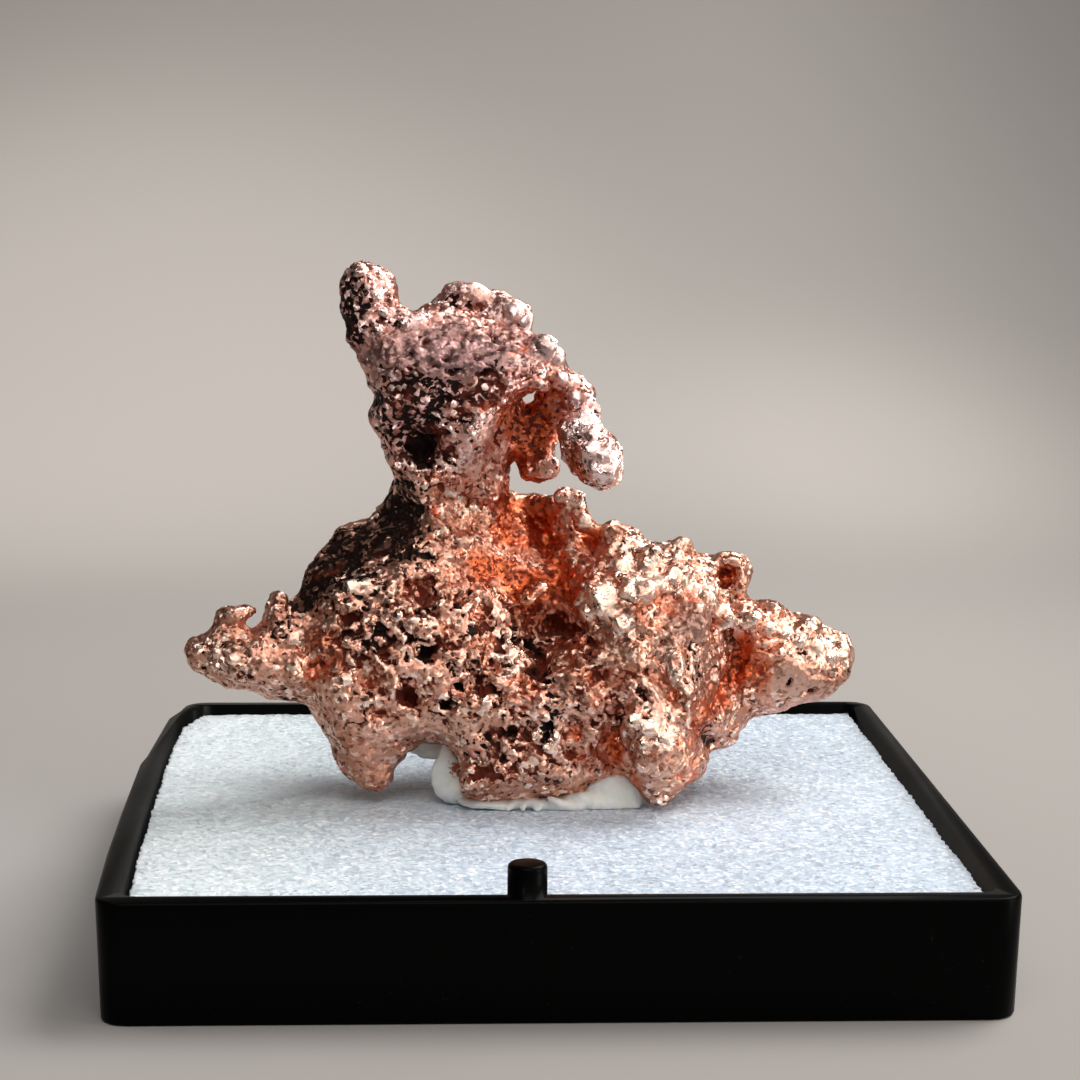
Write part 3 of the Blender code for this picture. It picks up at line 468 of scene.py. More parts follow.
# each spot: x, z, half width and half height in mm, lean in degrees, strength
zones = {
    # real tarnish, and painted shade: the dark left-facing sides of the ear, knobs and shoulder, and a
    # painted shadow under the first crest knob
    "tarnishAndPaintedShade": [
        (-7.7, 23.5, 0.60, 1.60, -6, 2.4), (-7.3, 24.8, 0.35, 0.40, 0, 1.2),
        (-3.8, 24.1, 0.36, 0.52, 0, 1.3), (-2.9, 23.8, 0.80, 0.20, -8, 0.9),
        (-6.1, 23.0, 0.64, 0.16, -8, 1.0), (-4.3, 20.5, 2.80, 0.72, -4, 1.7),
        (-5.3, 19.2, 1.70, 1.20, 0, 1.1), (-4.9, 18.3, 0.88, 0.76, 0, 1.4),
        (-1.9, 21.3, 0.56, 0.48, 0, 0.8), (-5.9, 15.9, 0.75, 1.1, -35, 2.2),
        (-6.7, 14.5, 1.8, 0.75, -12, 2.2), (-8.8, 13.2, 0.6, 1.7, -38, 2.2),
        (-7.7, 14.1, 0.9, 0.7, -35, 1.8), (-9.6, 12.2, 0.4, 0.8, -38, 1.6),
        (-5.6, 15.0, 0.9, 0.8, -30, 1.6), (-8.0, 13.7, 1.5, 0.55, -38, 2.0),
        (-7.8, 24.0, 0.45, 1.3, -6, 2.4), (-0.8, 19.2, 1.0, 1.3, -15, 0.75),
        (-2.0, 10.9, 1.4, 0.5, -20, 0.6), (7.4, 9.9, 0.6, 1.2, -20, 0.55),
        (-0.4, 18.3, 0.5, 0.5, 0, 0.7), (-10.6, 11.2, 0.80, 0.36, 25, 1.0),
        (-13.8, 10.3, 0.36, 0.28, 0, 0.9), (-12.6, 10.4, 0.52, 0.20, 0, 0.8),
        (-12.6, 8.9, 0.44, 0.20, -15, 0.8), (-10.3, 8.3, 0.40, 0.40, 0, 0.9),
        (-3.9, 7.9, 1.2, 0.44, 0, 0.5), (-0.2, 9.7, 0.56, 1.04, 10, 0.8),
        (-2.4, 6.5, 1.04, 0.30, 5, 0.5), (0.1, 6.9, 0.32, 0.72, -15, 0.7),
        (-2.5, 5.1, 1.36, 0.70, 0, 0.25), (-0.1, 5.4, 0.80, 0.30, 20, 0.55),
        (6.05, 9.2, 0.40, 1.50, 4, 0.8), (6.55, 7.0, 0.45, 1.00, 0, 0.8),
        (9.9, 8.95, 0.22, 0.28, 0, 0.9), (10.65, 8.45, 0.35, 0.10, 30, 1.0),
        (12.2, 9.2, 0.30, 0.60, 0, 0.5), (-4.5, 10.5, 3.2, 0.5, -8, 0.35),
        (-6.4, 19.4, 0.5, 1.5, 8, 1.2), (-6.0, 17.2, 0.6, 0.7, 0, 0.9), (-4.2, 16.9, 1.5, 0.5, 0, 0.4),
    ],
    # the copper's own warmer, redder patches, and painted bounce light: deeper orange in the saddle, the
    # hollow and the valleys
    "warmAndPaintedBounce": [
        (-0.7, 19.1, 1.20, 1.68, -15, 1.3), (-0.9, 15.4, 1.36, 1.36, 0, 1.4),
        (-1.7, 13.0, 2.48, 0.88, -22, 1.2), (1.8, 14.6, 0.68, 0.48, 0, 1.2),
        (-3.8, 16.9, 1.84, 0.52, 0, 0.6), (-4.6, 15.9, 0.28, 0.24, 0, 1.0),
        (-2.4, 19.8, 0.28, 0.24, 0, 1.0), (-1.1, 22.0, 0.48, 0.20, 8, 1.0),
        (-5.7, 24.0, 0.20, 0.40, 0, 0.8), (1.0, 17.9, 0.36, 1.08, 20, 0.9),
        (-0.4, 17.4, 0.88, 0.80, 0, 0.6), (7.8, 9.7, 0.80, 1.36, -25, 1.0),
        (5.3, 9.8, 0.24, 0.80, 0, 0.8), (3.8, 11.6, 0.40, 0.52, 0, 0.7),
        (7.3, 13.1, 0.28, 0.28, 0, 1.4), (2.8, 6.1, 0.36, 0.80, 12, 1.3),
        (3.7, 4.8, 0.64, 0.32, -35, 0.9), (1.2, 6.7, 0.40, 0.40, 0, 1.0),
        (-9.2, 9.7, 0.56, 1.20, 10, 0.6), (-1.7, 11.5, 1.60, 0.48, -10, 0.5),
        (8.6, 10.7, 0.90, 0.90, 0, 0.5), (6.9, 11.3, 0.20, 0.60, 0, 0.8),
        (0.9, 12.9, 1.60, 1.00, -35, 0.7), (6.2, 6.3, 0.30, 0.70, -20, 0.8),
        (6.6, 7.9, 0.60, 1.40, -15, 0.8), (1.8, 5.6, 1.00, 0.60, 15, 0.7),
        (2.6, 8.6, 1.20, 1.40, 0, 0.55), (8.9, 9.6, 0.50, 0.90, -20, 0.8),
        (3.4, 4.3, 0.90, 0.30, -30, 0.9), (-8.8, 9.9, 0.90, 1.50, 10, 0.7),
        (-1.0, 8.4, 1.00, 1.00, 0, 0.6), (-3.0, 10.2, 1.20, 0.80, 0, 0.5),
        (-6.0, 8.3, 1.60, 1.20, 0, 0.4), (-6.8, 5.4, 1.30, 1.30, 0, 0.35),
        (-1.6, 5.0, 2.20, 0.80, 0, 0.15), (5.9, 4.9, 0.30, 1.00, -10, 0.8),
        (-5.6, 22.9, 0.20, 0.30, 0, 0.8), (4.9, 11.9, 1.50, 0.30, -15, 0.6),
        (5.0, 5.4, 1.50, 1.30, 0, 0.35), (5.9, 12.5, 2.00, 0.90, -20, 0.40),
        (4.2, 8.2, 1.50, 2.20, 0, 0.35),
    ],
    # clean metal, and painted highlight: a paler colour where light catches the crystals, arms and knobs
    "cleanAndPaintedHighlight": [
        (4.1, 13.5, 1.20, 1.20, -20, 1.0), (2.2, 12.2, 0.70, 0.60, 0, 1.3),
        (3.8, 12.5, 0.8, 0.50, -15, 1.3), (6.3, 12.7, 1.60, 0.88, -20, 0.8),
        (7.2, 11.5, 0.56, 0.56, 0, 1.0), (4.1, 6.95, 1.15, 0.75, -10, 1.2),
        (10.5, 10.5, 1.10, 0.60, -15, 0.75), (11.7, 10.0, 0.50, 0.60, 0, 0.75),
        (2.2, 17.7, 0.80, 1.10, 30, 1.2), (1.4, 19.0, 0.80, 1.20, -28, 1.0),
        (-6.5, 23.8, 0.36, 1.10, 8, 1.1), (-1.35, 23.6, 0.90, 0.50, -25, 1.2),
        (-2.6, 24.4, 0.56, 0.32, 0, 0.9), (-5.2, 23.2, 0.56, 0.28, 10, 1.1),
        (0.1, 22.2, 0.48, 0.48, 0, 1.2), (-7.4, 12.8, 0.88, 0.56, -20, 0.9),
        (-12.6, 9.7, 0.88, 0.56, -25, 0.7), (-1.4, 12.5, 1.40, 0.42, -28, 1.0),
        (-1.3, 10.0, 0.50, 0.95, 8, 0.9), (-7.9, 9.0, 0.50, 0.60, 0, 0.6),
        (-2.3, 8.1, 0.55, 0.40, 0, 0.6), (0.1, 7.2, 0.35, 0.70, 0, 0.7), (0.5, 6.3, 0.35, 0.50, 0, 0.9),
        (-5.5, 11.6, 1.10, 0.40, -10, 0.5), (-2.5, 18.9, 0.9, 0.6, 25, 0.9),
        (-3.2, 17.6, 1.2, 0.5, 20, 0.9), (4.7, 9.4, 0.7, 1.7, 5, 0.9), (4.95, 5.4, 1.0, 0.9, 0, 0.4),
    ],
    "worn": [
        (-3.6, 22.05, 3.50, 1.05, -2, 1.0), (-3.05, 24.2, 0.90, 0.45, -4, 1.0),
        (-1.35, 23.6, 0.85, 0.5, -28, 0.8), (10.1, 8.9, 1.20, 0.95, -8, 1.0),
        (4.95, 5.4, 1.10, 0.95, 0, 0.7), (-2.8, 17.5, 1.04, 0.56, 20, 0.6),
        (1.8, 14.6, 0.56, 0.44, 0, 0.9), (-6.8, 5.5, 1.20, 1.20, 0, 0.7),
        (-4.0, 7.1, 2.80, 0.80, 0, 0.6), (5.7, 11.5, 1.20, 0.90, 5, 0.5),
        (-2.4, 18.7, 0.80, 0.56, 25, 0.7), (3.1, 10.0, 0.80, 0.80, 0, 0.6),
        (-3.3, 11.3, 1.20, 0.50, 0, 0.4), (4.6, 9.2, 0.80, 1.80, 5, 0.5),
        (-5.9, 10.2, 0.7, 0.7, 0, 0.35),
    ],
    "dull": [
        (-3.6, 22.05, 3.6, 1.05, -2, 1.1), (-7.4, 24.2, 0.5, 1.2, 0, 0.4),
        (5.7, 11.4, 1.3, 1.0, 0, 0.8), (6.5, 9.0, 0.8, 1.9, 0, 0.6), (10.2, 8.9, 1.4, 1.0, -8, 0.3),
        (4.95, 5.4, 1.2, 1.0, 0, 0.1), (-6.8, 5.6, 1.3, 1.3, 0, 0.2),
    ],
    "aligned": [  # where the small crystals share a way to look
        (2.2, 17.6, 0.90, 1.20, 30, 1.0), (1.4, 19.0, 0.80, 1.30, -25, 1.4),
        (0.1, 22.2, 0.50, 0.50, 0, 1.0), (-1.3, 23.5, 0.60, 0.40, -25, 0.8),
        (-6.5, 23.9, 0.35, 0.90, 8, 0.9), (-5.2, 23.2, 0.60, 0.25, 10, 1.0),
        (-2.6, 24.5, 0.50, 0.25, 0, 0.6), (-7.4, 12.8, 0.80, 0.45, -20, 0.7),
        (4.1, 7.0, 1.10, 0.70, -10, 0.5), (4.7, 9.4, 0.60, 1.50, 5, 0.9),
        (-1.3, 10.0, 0.50, 0.90, 8, 0.5), (11.2, 10.1, 1.00, 0.50, -20, 0.1),
        (-12.8, 9.8, 0.80, 0.40, -20, 0.5), (-2.5, 18.8, 1.00, 0.60, 25, 1.1),
        (5.0, 5.5, 1.00, 0.90, 0, 0.6), (-6.8, 5.6, 1.20, 1.10, 0, 0.45),
    ],
    "beaded": [
        (4.4, 12.9, 3.8, 1.5, -22, 1.0), (-0.6, 14.6, 2.0, 1.6, 0, 0.7), (-4.0, 19.4, 3.2, 1.9, 0, 0.8),
        (-6.8, 23.8, 1.0, 1.6, 0, 0.7), (1.7, 18.8, 1.2, 2.2, -20, 0.7),
        (9.6, 10.8, 2.2, 0.9, -15, 0.5), (4.0, 7.0, 1.4, 0.9, 0, 0.5), (-12.4, 10.0, 2.2, 1.6, 0, 0.5),
        (-1.5, 9.5, 0.8, 1.4, 0, 0.6), (7.9, 9.7, 0.9, 1.5, -25, 0.9),
    ],
    "pitted": [
        (-3.6, 9.8, 5.5, 4.0, -12, 1.0), (-4.0, 21.8, 3.6, 1.6, -4, 0.8),
        (-3.8, 18.3, 2.2, 1.6, 0, 0.7), (2.5, 8.5, 2.6, 2.6, 0, 0.8), (-1.0, 5.6, 3.5, 1.2, 0, 0.9),
        (10.2, 9.2, 1.6, 1.2, 0, 0.5), (-7.0, 5.8, 1.3, 1.4, 0, 0.5), (-12.0, 9.6, 2.2, 1.4, 0, 0.6),
    ],
    # here the strength is a depth in mm
    "holes": [
        (-7.6, 11.2, 0.28, 0.32, 0, 0.5), (-7.1, 9.9, 0.40, 0.32, -20, 0.45),
        (-4.8, 12.6, 0.68, 0.36, -10, 0.45), (-3.3, 12.4, 0.56, 0.20, 25, 0.35),
        (-8.6, 10.8, 0.40, 0.28, 0, 0.35), (-4.5, 10.3, 0.48, 0.16, 0, 0.4),
        (-2.9, 8.8, 0.52, 0.44, -20, 0.6), (-5.4, 8.4, 0.32, 0.28, 0, 0.5),
        (-0.9, 10.6, 0.24, 0.32, 10, 0.4), (-0.3, 9.7, 0.36, 0.88, 10, 0.7),
        (-3.8, 8.0, 0.28, 0.28, 0, 0.35), (-6.7, 7.5, 0.40, 0.16, 0, 0.3),
        (-1.6, 6.8, 0.88, 0.24, 4, 0.4), (0.1, 6.9, 0.20, 0.52, -15, 0.4),
        (-2.5, 5.3, 0.72, 0.20, 20, 0.25), (7.3, 13.1, 0.24, 0.24, 0, 0.5),
        (6.8, 11.2, 0.20, 0.24, 0, 0.4), (1.6, 10.3, 0.36, 0.28, 0, 0.4),
        (0.7, 11.1, 0.56, 0.32, -10, 0.5), (2.2, 9.3, 0.32, 0.24, 0, 0.35),
        (-4.9, 18.3, 0.68, 0.56, 0, 0.6), (-5.8, 22.0, 0.36, 0.12, 10, 0.3),
        (-3.2, 22.5, 0.36, 0.12, 0, 0.3), (-2.1, 22.7, 0.24, 0.12, -10, 0.3),
        (-4.9, 22.6, 0.40, 0.10, 5, 0.35), (-4.5, 21.7, 0.35, 0.10, -5, 0.3),
        (-3.9, 22.1, 0.30, 0.10, 0, 0.3), (-2.8, 21.9, 0.35, 0.10, 0, 0.35),
        (-1.7, 22.2, 0.30, 0.10, -10, 0.3), (-3.5, 21.5, 0.30, 0.10, 0, 0.25),
        (-6.3, 21.6, 0.25, 0.10, 0, 0.3), (-2.3, 21.3, 0.30, 0.12, 0, 0.3),
        (9.9, 8.95, 0.24, 0.16, 0, 0.3), (10.65, 8.45, 0.38, 0.11, 30, 0.35),
        (10.9, 9.3, 0.14, 0.10, 0, 0.2), (9.5, 8.5, 0.14, 0.10, 0, 0.2),
        (5.0, 5.7, 0.30, 0.11, 20, 0.3), (4.6, 5.2, 0.18, 0.12, 0, 0.25),
        (5.4, 5.1, 0.14, 0.18, 0, 0.25),
    ],
}


def acrossPlane(places):  # x and z in mm where each point's line of sight crosses the nugget's plane
    eye = np.array(camera["place"])
    share = (nugget["plane"] - eye[1]) / (places[:, 1] - eye[1])
    seen = (eye + (places - eye) * share[:, None]) / mm
    # ragged edges for the zones
    ragged = [
        0.2 * wobble(places, 0.8 * mm, seed) + 0.1 * wobble(places, 0.25 * mm, seed + 2) for seed in (1, 2)
    ]
    return seen[:, 0] + ragged[0], seen[:, 2] + ragged[1]


def zoneLevel(name, x, z):
    level = np.zeros(len(x))
    for midX, midZ, halfWidth, halfHeight, lean, strength in zones[name]:
        turn = math.radians(lean)
        across = (x - midX) * math.cos(turn) + (z - midZ) * math.sin(turn)
        along = (z - midZ) * math.cos(turn) - (x - midX) * math.sin(turn)
        away = (across / halfWidth) ** 2 + (along / halfHeight) ** 2
        level = np.maximum(level, strength * np.exp(-away ** 1.5))
    return level


def surfaceSeen(piece, x, z):  # where the line of sight through the nugget's plane meets its surface
    eye = Vector(camera["place"])
    way = Vector((x * mm, nugget["plane"], z * mm)) - eye
    found, place, normal, _ = piece.ray_cast(eye, way.normalized())
    return (place, normal) if found else (None, None)


def growKnobs(piece):
    made = []
    for x, z, halfWidth, halfHeight, lean in nugget["knobs"]:
        place, _ = surfaceSeen(piece, x, z)
        if place is None:
            continue
        depth = nugget["knobDepth"] * max(halfWidth, halfHeight)
        bpy.ops.mesh.primitive_uv_sphere_add(
            segments=24, ring_count=16, radius=mm, rotation=(0, -math.radians(lean), 0),
            location=place + Vector((0, nugget["knobSink"] * depth * mm, 0)),
            scale=(halfWidth, depth, halfHeight),
        )
        made.append(bpy.context.object)
    joinTo(piece, made)
    print("knobs grown:", len(made))


def growCrystals(piece):
    chooser = random.Random(5)
    made, grown = [], []
    for x, z, edge in nugget["crystals"]:
        place, normal = surfaceSeen(piece, x, z)
        if place is None:
            continue
        turn = Vector(nugget["crystalFace"]).to_track_quat("Z", "Y").to_matrix()
        for axis in "XYZ":
            spread = nugget["crystalTwist" if axis == "Z" else "crystalSpread"]
            turn = turn @ Matrix.Rotation(math.radians(chooser.uniform(-spread, spread)), 3, axis)
        middle = place - normal * nugget["crystalSink"] * edge * mm
        bpy.ops.mesh.primitive_cube_add(size=edge * mm, location=middle, rotation=turn.to_euler())
        made.append(bpy.context.object)
        grown.append((np.array(middle), edge * mm))
    joinTo(piece, made)
    print("crystals grown:", len(made))
    return grown


def buildNugget():
    piece = copyOfNode("copper_nugget", "copperNugget")
    growKnobs(piece)
    addRemesh(piece, nugget["voxel"])
    addSmooth(piece, 0.5, nugget["rounding"])
    applyModifiers(piece)
    crystals = growCrystals(piece)
    addRemesh(piece, nugget["voxel"])
    addSmooth(piece, 0.5, 1)
    applyModifiers(piece)
    places, edges, normals = meshArrays(piece)
    onCrystal = np.zeros(len(places))
    for middle, edge in crystals:
        gap = np.linalg.norm(places - middle, axis=1) / edge
        onCrystal = np.maximum(onCrystal, np.clip(4 - 5 * gap, 0, 1))  # fades from 0.6 to 0.8 of an edge away
    softNormals = relaxed(normals, edges, nugget["frontRounds"])
    front = np.clip(0.75 - 1.4 * softNormals[:, 1], 0, 1)  # the zones fade where the surface turns away
    x, z = acrossPlane(places)
    level = {name: zoneLevel(name, x, z) * front for name in zones}
    elsewhere = (1 - front) * np.clip(0.5 + wobble(places, 3 * mm, 3), 0, 1)  # the unseen sides mix freely
    level["pitted"] = np.maximum(level["pitted"], elsewhere)
    level["tarnishAndPaintedShade"] += 0.8 * (1 - front) * np.clip(wobble(places, 2.5 * mm, 4), 0, 1)
    level["pitted"] *= np.clip(0.7 + 0.7 * wobble(places, 0.9 * mm, 8), 0, 1)
    level["worn"] *= 1 - onCrystal
    # the crystals are painted pale, as clean metal and painted highlight
    level["cleanAndPaintedHighlight"] = np.maximum(level["cleanAndPaintedHighlight"], 1.4 * onCrystal)
    level["unworn"] = (1 - 0.85 * np.clip(level["worn"], 0, 1)) * (1 - onCrystal)
    level["pitted"] *= level["unworn"]
    level["beaded"] = np.maximum(level["beaded"], 0.5 * (1 - front)) * level["unworn"]
    level["anywhere"] = (0.3 + 0.7 * level["unworn"]) * (1 - onCrystal)
    guide = bpy.data.objects.new("grain", None)
    guide.rotation_euler = (0, math.radians(-nugget["grainLean"]), 0)
    guide.scale = (nugget["grainStretch"], 1, 1)
    bpy.context.scene.collection.objects.link(guide)
    bpy.context.view_layer.update()
    for name in ("anywhere", "beaded", "unworn", "pitted"):
        setWeights(piece, name, level[name])
    setWeights(piece, "flattened", level["worn"])
    addSmooth(piece, 0.5, nugget["wornRounds"])
    piece.modifiers["smooth"].vertex_group = "flattened"
    applyModifiers(piece)
    moveTo(piece, meshArrays(piece)[0] - softNormals * (level["holes"] * mm)[:, None])
    sunk = level["holes"] * 1.6
    for name, layer in reliefs.items():
        before, _, normals = meshArrays(piece)
        addRelief(piece, name, layer, guide if layer.get("grained") else None)
        applyModifiers(piece)
        if "edge" in layer:
            after = meshArrays(piece)[0]
            sunk = sunk + ((before - after) * normals).sum(1) / (nugget["sunkDepth"] * mm)
    bpy.data.objects.remove(guide)
    print("relief pressed into the nugget:", ", ".join(reliefs))

    places, edges, normals = meshArrays(piece)
    for name, (rounds, reach) in nugget["hollows"].items():
        drift = relaxed(places, edges, rounds) - places
        depth = (drift * normals).sum(1) / (reach * mm)
        storeAttribute(piece, name, 0.5 + 0.5 * np.clip(depth, -1, 1))
    storeAttribute(piece, "sunk", np.clip(sunk, 0, 1))
    storeAttribute(piece, "tarnishAndPaintedShade", np.clip(level["tarnishAndPaintedShade"], 0, 1.4))
    for name in ("warmAndPaintedBounce", "cleanAndPaintedHighlight", "worn", "dull"):
        storeAttribute(piece, name, np.clip(level[name], 0, 1))
    storeAttribute(piece, "aligned", np.clip(level["aligned"] * (1 - onCrystal), 0, 1))
    storeAttribute(piece, "crystal", onCrystal)
    storeAttribute(piece, "shelter", shelter(places))
    decimate = piece.modifiers.new("decimate", "DECIMATE")
    decimate.ratio = min(1, nugget["triangles"] / (2 * len(places)))
    applyModifiers(piece)
    piece.data.shade_smooth()
    finishPiece(piece, copperFinish(), "copper_nugget")


# how much of the view out from each face of the solid the nugget itself hides, carried to the fine mesh; it
# feeds the painted bounce light in the copper's colour
def shelter(places):
    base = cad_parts["copper_nugget"].data
    tree = BVHTree.FromPolygons([v.co for v in base.vertices], [tuple(p.vertices) for p in base.polygons])
    ways = np.random.default_rng(7).normal(size=(nugget["rays"], 3))
    ways = [Vector(way).normalized() for way in ways]
    finder = kdtree.KDTree(len(base.polygons))
    hidden = []
    for i, face in enumerate(base.polygons):
        finder.insert(face.center, i)
        start = face.center + face.normal * nugget["rayLift"]
        outward = [way for way in ways if face.normal.dot(way) > 0.1]
        hits = sum(tree.ray_cast(start, way, nugget["rayReach"])[0] is not None for way in outward)
        hidden.append(hits / len(outward))
    finder.balance()
    found = []
    for place in places:
        near = finder.find_n(place, 4)
        weights = [1 / (gap + 0.05 * mm) for _, _, gap in near]
        found.append(sum(hidden[i] * w for (_, i, _), w in zip(near, weights)) / sum(weights))
    return found


copper = {
    # pale clean copper, also the painted highlight colour
    "cleanAndPaintedHighlight": (1.0, 0.71, 0.57),
    "pink": (0.86, 0.44, 0.32),
    "brown": (0.56, 0.23, 0.14),
    "skin": (0.74, 0.42, 0.30),
    "dull": (0.36, 0.21, 0.17),
    "rosy": (0.96, 0.96, 1.12),  # what the upper part's colour is multiplied by
    # deep orange, the copper's warm tone and the painted bounce light
    "deepAndPaintedBounce": (0.66, 0.14, 0.05),
    # near black oxide, also the colour of the painted shade
    "oxideAndPaintedShade": (0.015, 0.0065, 0.005),
    "redOxide": (0.17, 0.030, 0.016),
    # heights in mm between which these set in
    "rosyHeight": (15.5, 19),
    "flakyHeight": (16, 18),
    "stainAndShadeEdge": (0.50, 0.72),  # where the stain and painted shade start and are full
    "roughness": 0.39,
    "lean": 0.32,  # of the small crystal faces, where they don't glint
    "sizes": {  # in mm
        "flake": 0.24,  # bright flakes left in the tarnish and painted shade, painted paler as glints
        "speck": 0.15,  # dark specks elsewhere
        "blotch": 1.5,
        "speckle": 0.28,
        "paintedHighlightPatch": 0.9,
        "glint": 0.45,
        "facet": 0.24,
        "fineFacet": 0.11,
        "grain": 0.10,
        "grainCell": 0.13,
        "grainDepth": 0.03,
    },
}


def copperFinish():
    finish = newFinish("nativeCopper")
    place = finish.place()
    names = (
        "fineHollow", "hollow", "sunk", "tarnishAndPaintedShade", "warmAndPaintedBounce", "cleanAndPaintedHighlight", "worn", "dull", "aligned", "shelter",
        "crystal",
    )
    level = {name: finish.node("Attribute", {"attribute_name": name}, {}, 2) for name in names}
    size = {name: value * mm for name, value in copper["sizes"].items()}
    height = finish.along("z", place)
    flakyHeight, rosyHeight = ([edge * mm for edge in copper[name]] for name in ("flakyHeight", "rosyHeight"))
    blotch = finish.noise(place, size["blotch"], 3) - 0.5
    speckle = finish.noise(place, size["speckle"], 3, 0.6) - 0.5
    fine = level["fineHollow"] - 0.5

    # painted bounce light: deeper orange where the nugget shelters itself and in hollows, with the copper's
    # own warm patches
    warmthAndPaintedBounce = level["warmAndPaintedBounce"] + level["shelter"].step(0.3, 0.8) * 0.5 + (level["hollow"] - 0.5) * 0.5
    warmthAndPaintedBounce = (warmthAndPaintedBounce + blotch * 1.2).step(0.1, 1.2)
    # oxide in pits and fine hollows, tarnish, and painted shade from the tarnish zones
    stainAndPaintedShade = level["tarnishAndPaintedShade"] * 0.85 + level["sunk"] * 0.62 + fine * (0.6 + level["tarnishAndPaintedShade"] * 1.2)
    stainAndPaintedShade = (stainAndPaintedShade + speckle * 1.5 + blotch * 0.5).step(*copper["stainAndShadeEdge"])
    chance, otherChance = (finish.chance(place, size[name]) for name in ("flake", "speck"))
    flake = (chance + blotch * 0.3).step(0.80, 0.84) * (1 - level["sunk"].step(0.3, 0.6))
    lost = 0.85 - 0.65 * height.step(*flakyHeight)  # the upper part's tarnish and painted shade keep most of their flakes
    flake = flake * (1 - level["tarnishAndPaintedShade"].step(0.8, 1.0) * lost)
    bare = (0.85 - level["crystal"] - level["dull"] * 0.6 - level["worn"] * 0.3).most(0)
    speck = (0.12 - otherChance + blotch * 0.3).step(0, 0.03) * bare
    stainAndPaintedShade = (stainAndPaintedShade * (1 - flake)).most(speck)
    shade = finish.mixColour((blotch * 3 + speckle * 2).step(-0.5, 0.6), copper["pink"], copper["brown"])
    # painted highlight: the pale clean colour in patches, on flakes, on small bumps and in the clean zones
    brightAndPaintedHighlight = finish.noise(place, size["paintedHighlightPatch"], 2).step(0.54, 0.68) * 0.22 + flake * 0.9
    brightAndPaintedHighlight = (level["cleanAndPaintedHighlight"] + brightAndPaintedHighlight - fine * 1.2 + speckle).step(0.2, 1.0)
    shade = finish.mixColour(brightAndPaintedHighlight, shade, copper["cleanAndPaintedHighlight"])
    shade = finish.mixColour((level["worn"] + speckle * 0.5).step(0.2, 0.8), shade, copper["skin"])
    shade = finish.mixColour(level["dull"], shade, copper["dull"])
    settings = {"data_type": "RGBA", "blend_type": "MULTIPLY"}
    rosy = finish.node("Mix", settings, {0: 1.0, 6: shade, 7: (*copper["rosy"], 1.0)}, 2)
    shade = finish.mixColour((height + blotch * 4 * mm).step(*rosyHeight), shade, rosy)
    shade = finish.mixColour(warmthAndPaintedBounce, shade, copper["deepAndPaintedBounce"])
    redness = (warmthAndPaintedBounce + blotch * 3 + 0.4 - level["tarnishAndPaintedShade"] * 0.3).step(0.25, 0.8)
    oxideAndPaintedShade = finish.mixColour(redness, copper["oxideAndPaintedShade"], copper["redOxide"])
    shade = finish.mixColour(stainAndPaintedShade, shade, oxideAndPaintedShade)

    glints = finish.noise(place, size["glint"], 2).step(0.48, 0.60) * (1 - level["worn"] * 0.7)
    rough = copper["roughness"] - glints * (0.10 + level["cleanAndPaintedHighlight"] * 0.14)
    rough = rough + speckle * 0.2 + (stainAndPaintedShade + level["worn"]) * 0.10
    grain = finish.noise(place, size["grain"], 3, 0.6) + 0.5 * finish.cells(place, size["grainCell"])
    normal = finish.node("NewGeometry", {}, {}, 1)
    lean = (copper["lean"] + (level["cleanAndPaintedHighlight"] * 0.9 + 0.34) * glints) * (1 - level["crystal"] * 0.9)
    # faces in the clean and painted highlight zones and the aligned ones turn to the side that the crystals'
    # own faces look to
    pull = (level["cleanAndPaintedHighlight"] * 0.6 + level["aligned"] * 1.9) * (0.35 + 0.65 * glints)
    pull = pull + flake * (0.35 + level["tarnishAndPaintedShade"] * 0.8)
    shared = finish.node("VectorMath", {"operation": "SCALE"}, {0: nugget["crystalFace"], "Scale": pull})
    normal = finish.node("VectorMath", {"operation": "ADD"}, {0: normal, 1: shared})
    normal = finish.facets(normal, place, size["facet"], lean)
    normal = finish.facets(normal, place, size["fineFacet"], lean * 0.8)
    values = {"Strength": 0.4, "Distance": size["grainDepth"], "Height": grain, "Normal": normal}
    bump = finish.node("Bump", {}, values)
    return finish.surface({
        "Base Color": shade, "Metallic": 1 - stainAndPaintedShade, "Roughness": rough, "Normal": bump,
        "Specular IOR Level": 0.1,
    })


foam = {
    "rows": 270,
    "reliefs": {  # sizes and heights in mm
        "waves": {"kind": "CLOUDS", "size": 2.2, "height": 0.12, "level": 0.7, "zone": "skin"},
        "grains": {"kind": "VORONOI", "size": 0.30, "height": -0.07, "level": 0.3, "zone": "skin"},
    },
    "rings": (0.05, 0.05, 0.1, 0.1, 0.7),  # from the top down, shares of its height between edge rings
    "crumble": 0.08,  # how far its cut edges are nibbled in, in mm
    "crumbleReach": 0.3,
    "pegGap": 0.12,  # left round the peg
    "shade": (0.67, 0.79, 0.93),
    "paintedHollowShade": (0.58, 0.69, 0.82),
    "paintedLightLeft": (0.80, 0.92, 1.0),
    "paintedGlintShade": (1.0, 1.0, 1.0),
    "speckShade": (0.46, 0.56, 0.68),
    "paintedLightLeftFade": (-14, -1),  # painted light: across the top, in mm, from the lighter left colour to the main one
    # sizes in mm
    "cell": 0.18,
    "grain": 0.09,
    "speck": 0.15,
    "facet": 0.15,
    "bumpDepth": 0.04,
    "bow": [  # place along its left side, from front to back, and how far that side stands out, in mm
        (-15.0, 0.0), (-13.5, 0.05), (-9.0, 0.3), (-4.0, 0.5), (2.0, 0.7), (5.0, 0.8), (12.3, 0.85),
        (14.0, 0.35), (15.0, 0.1),
    ],
}


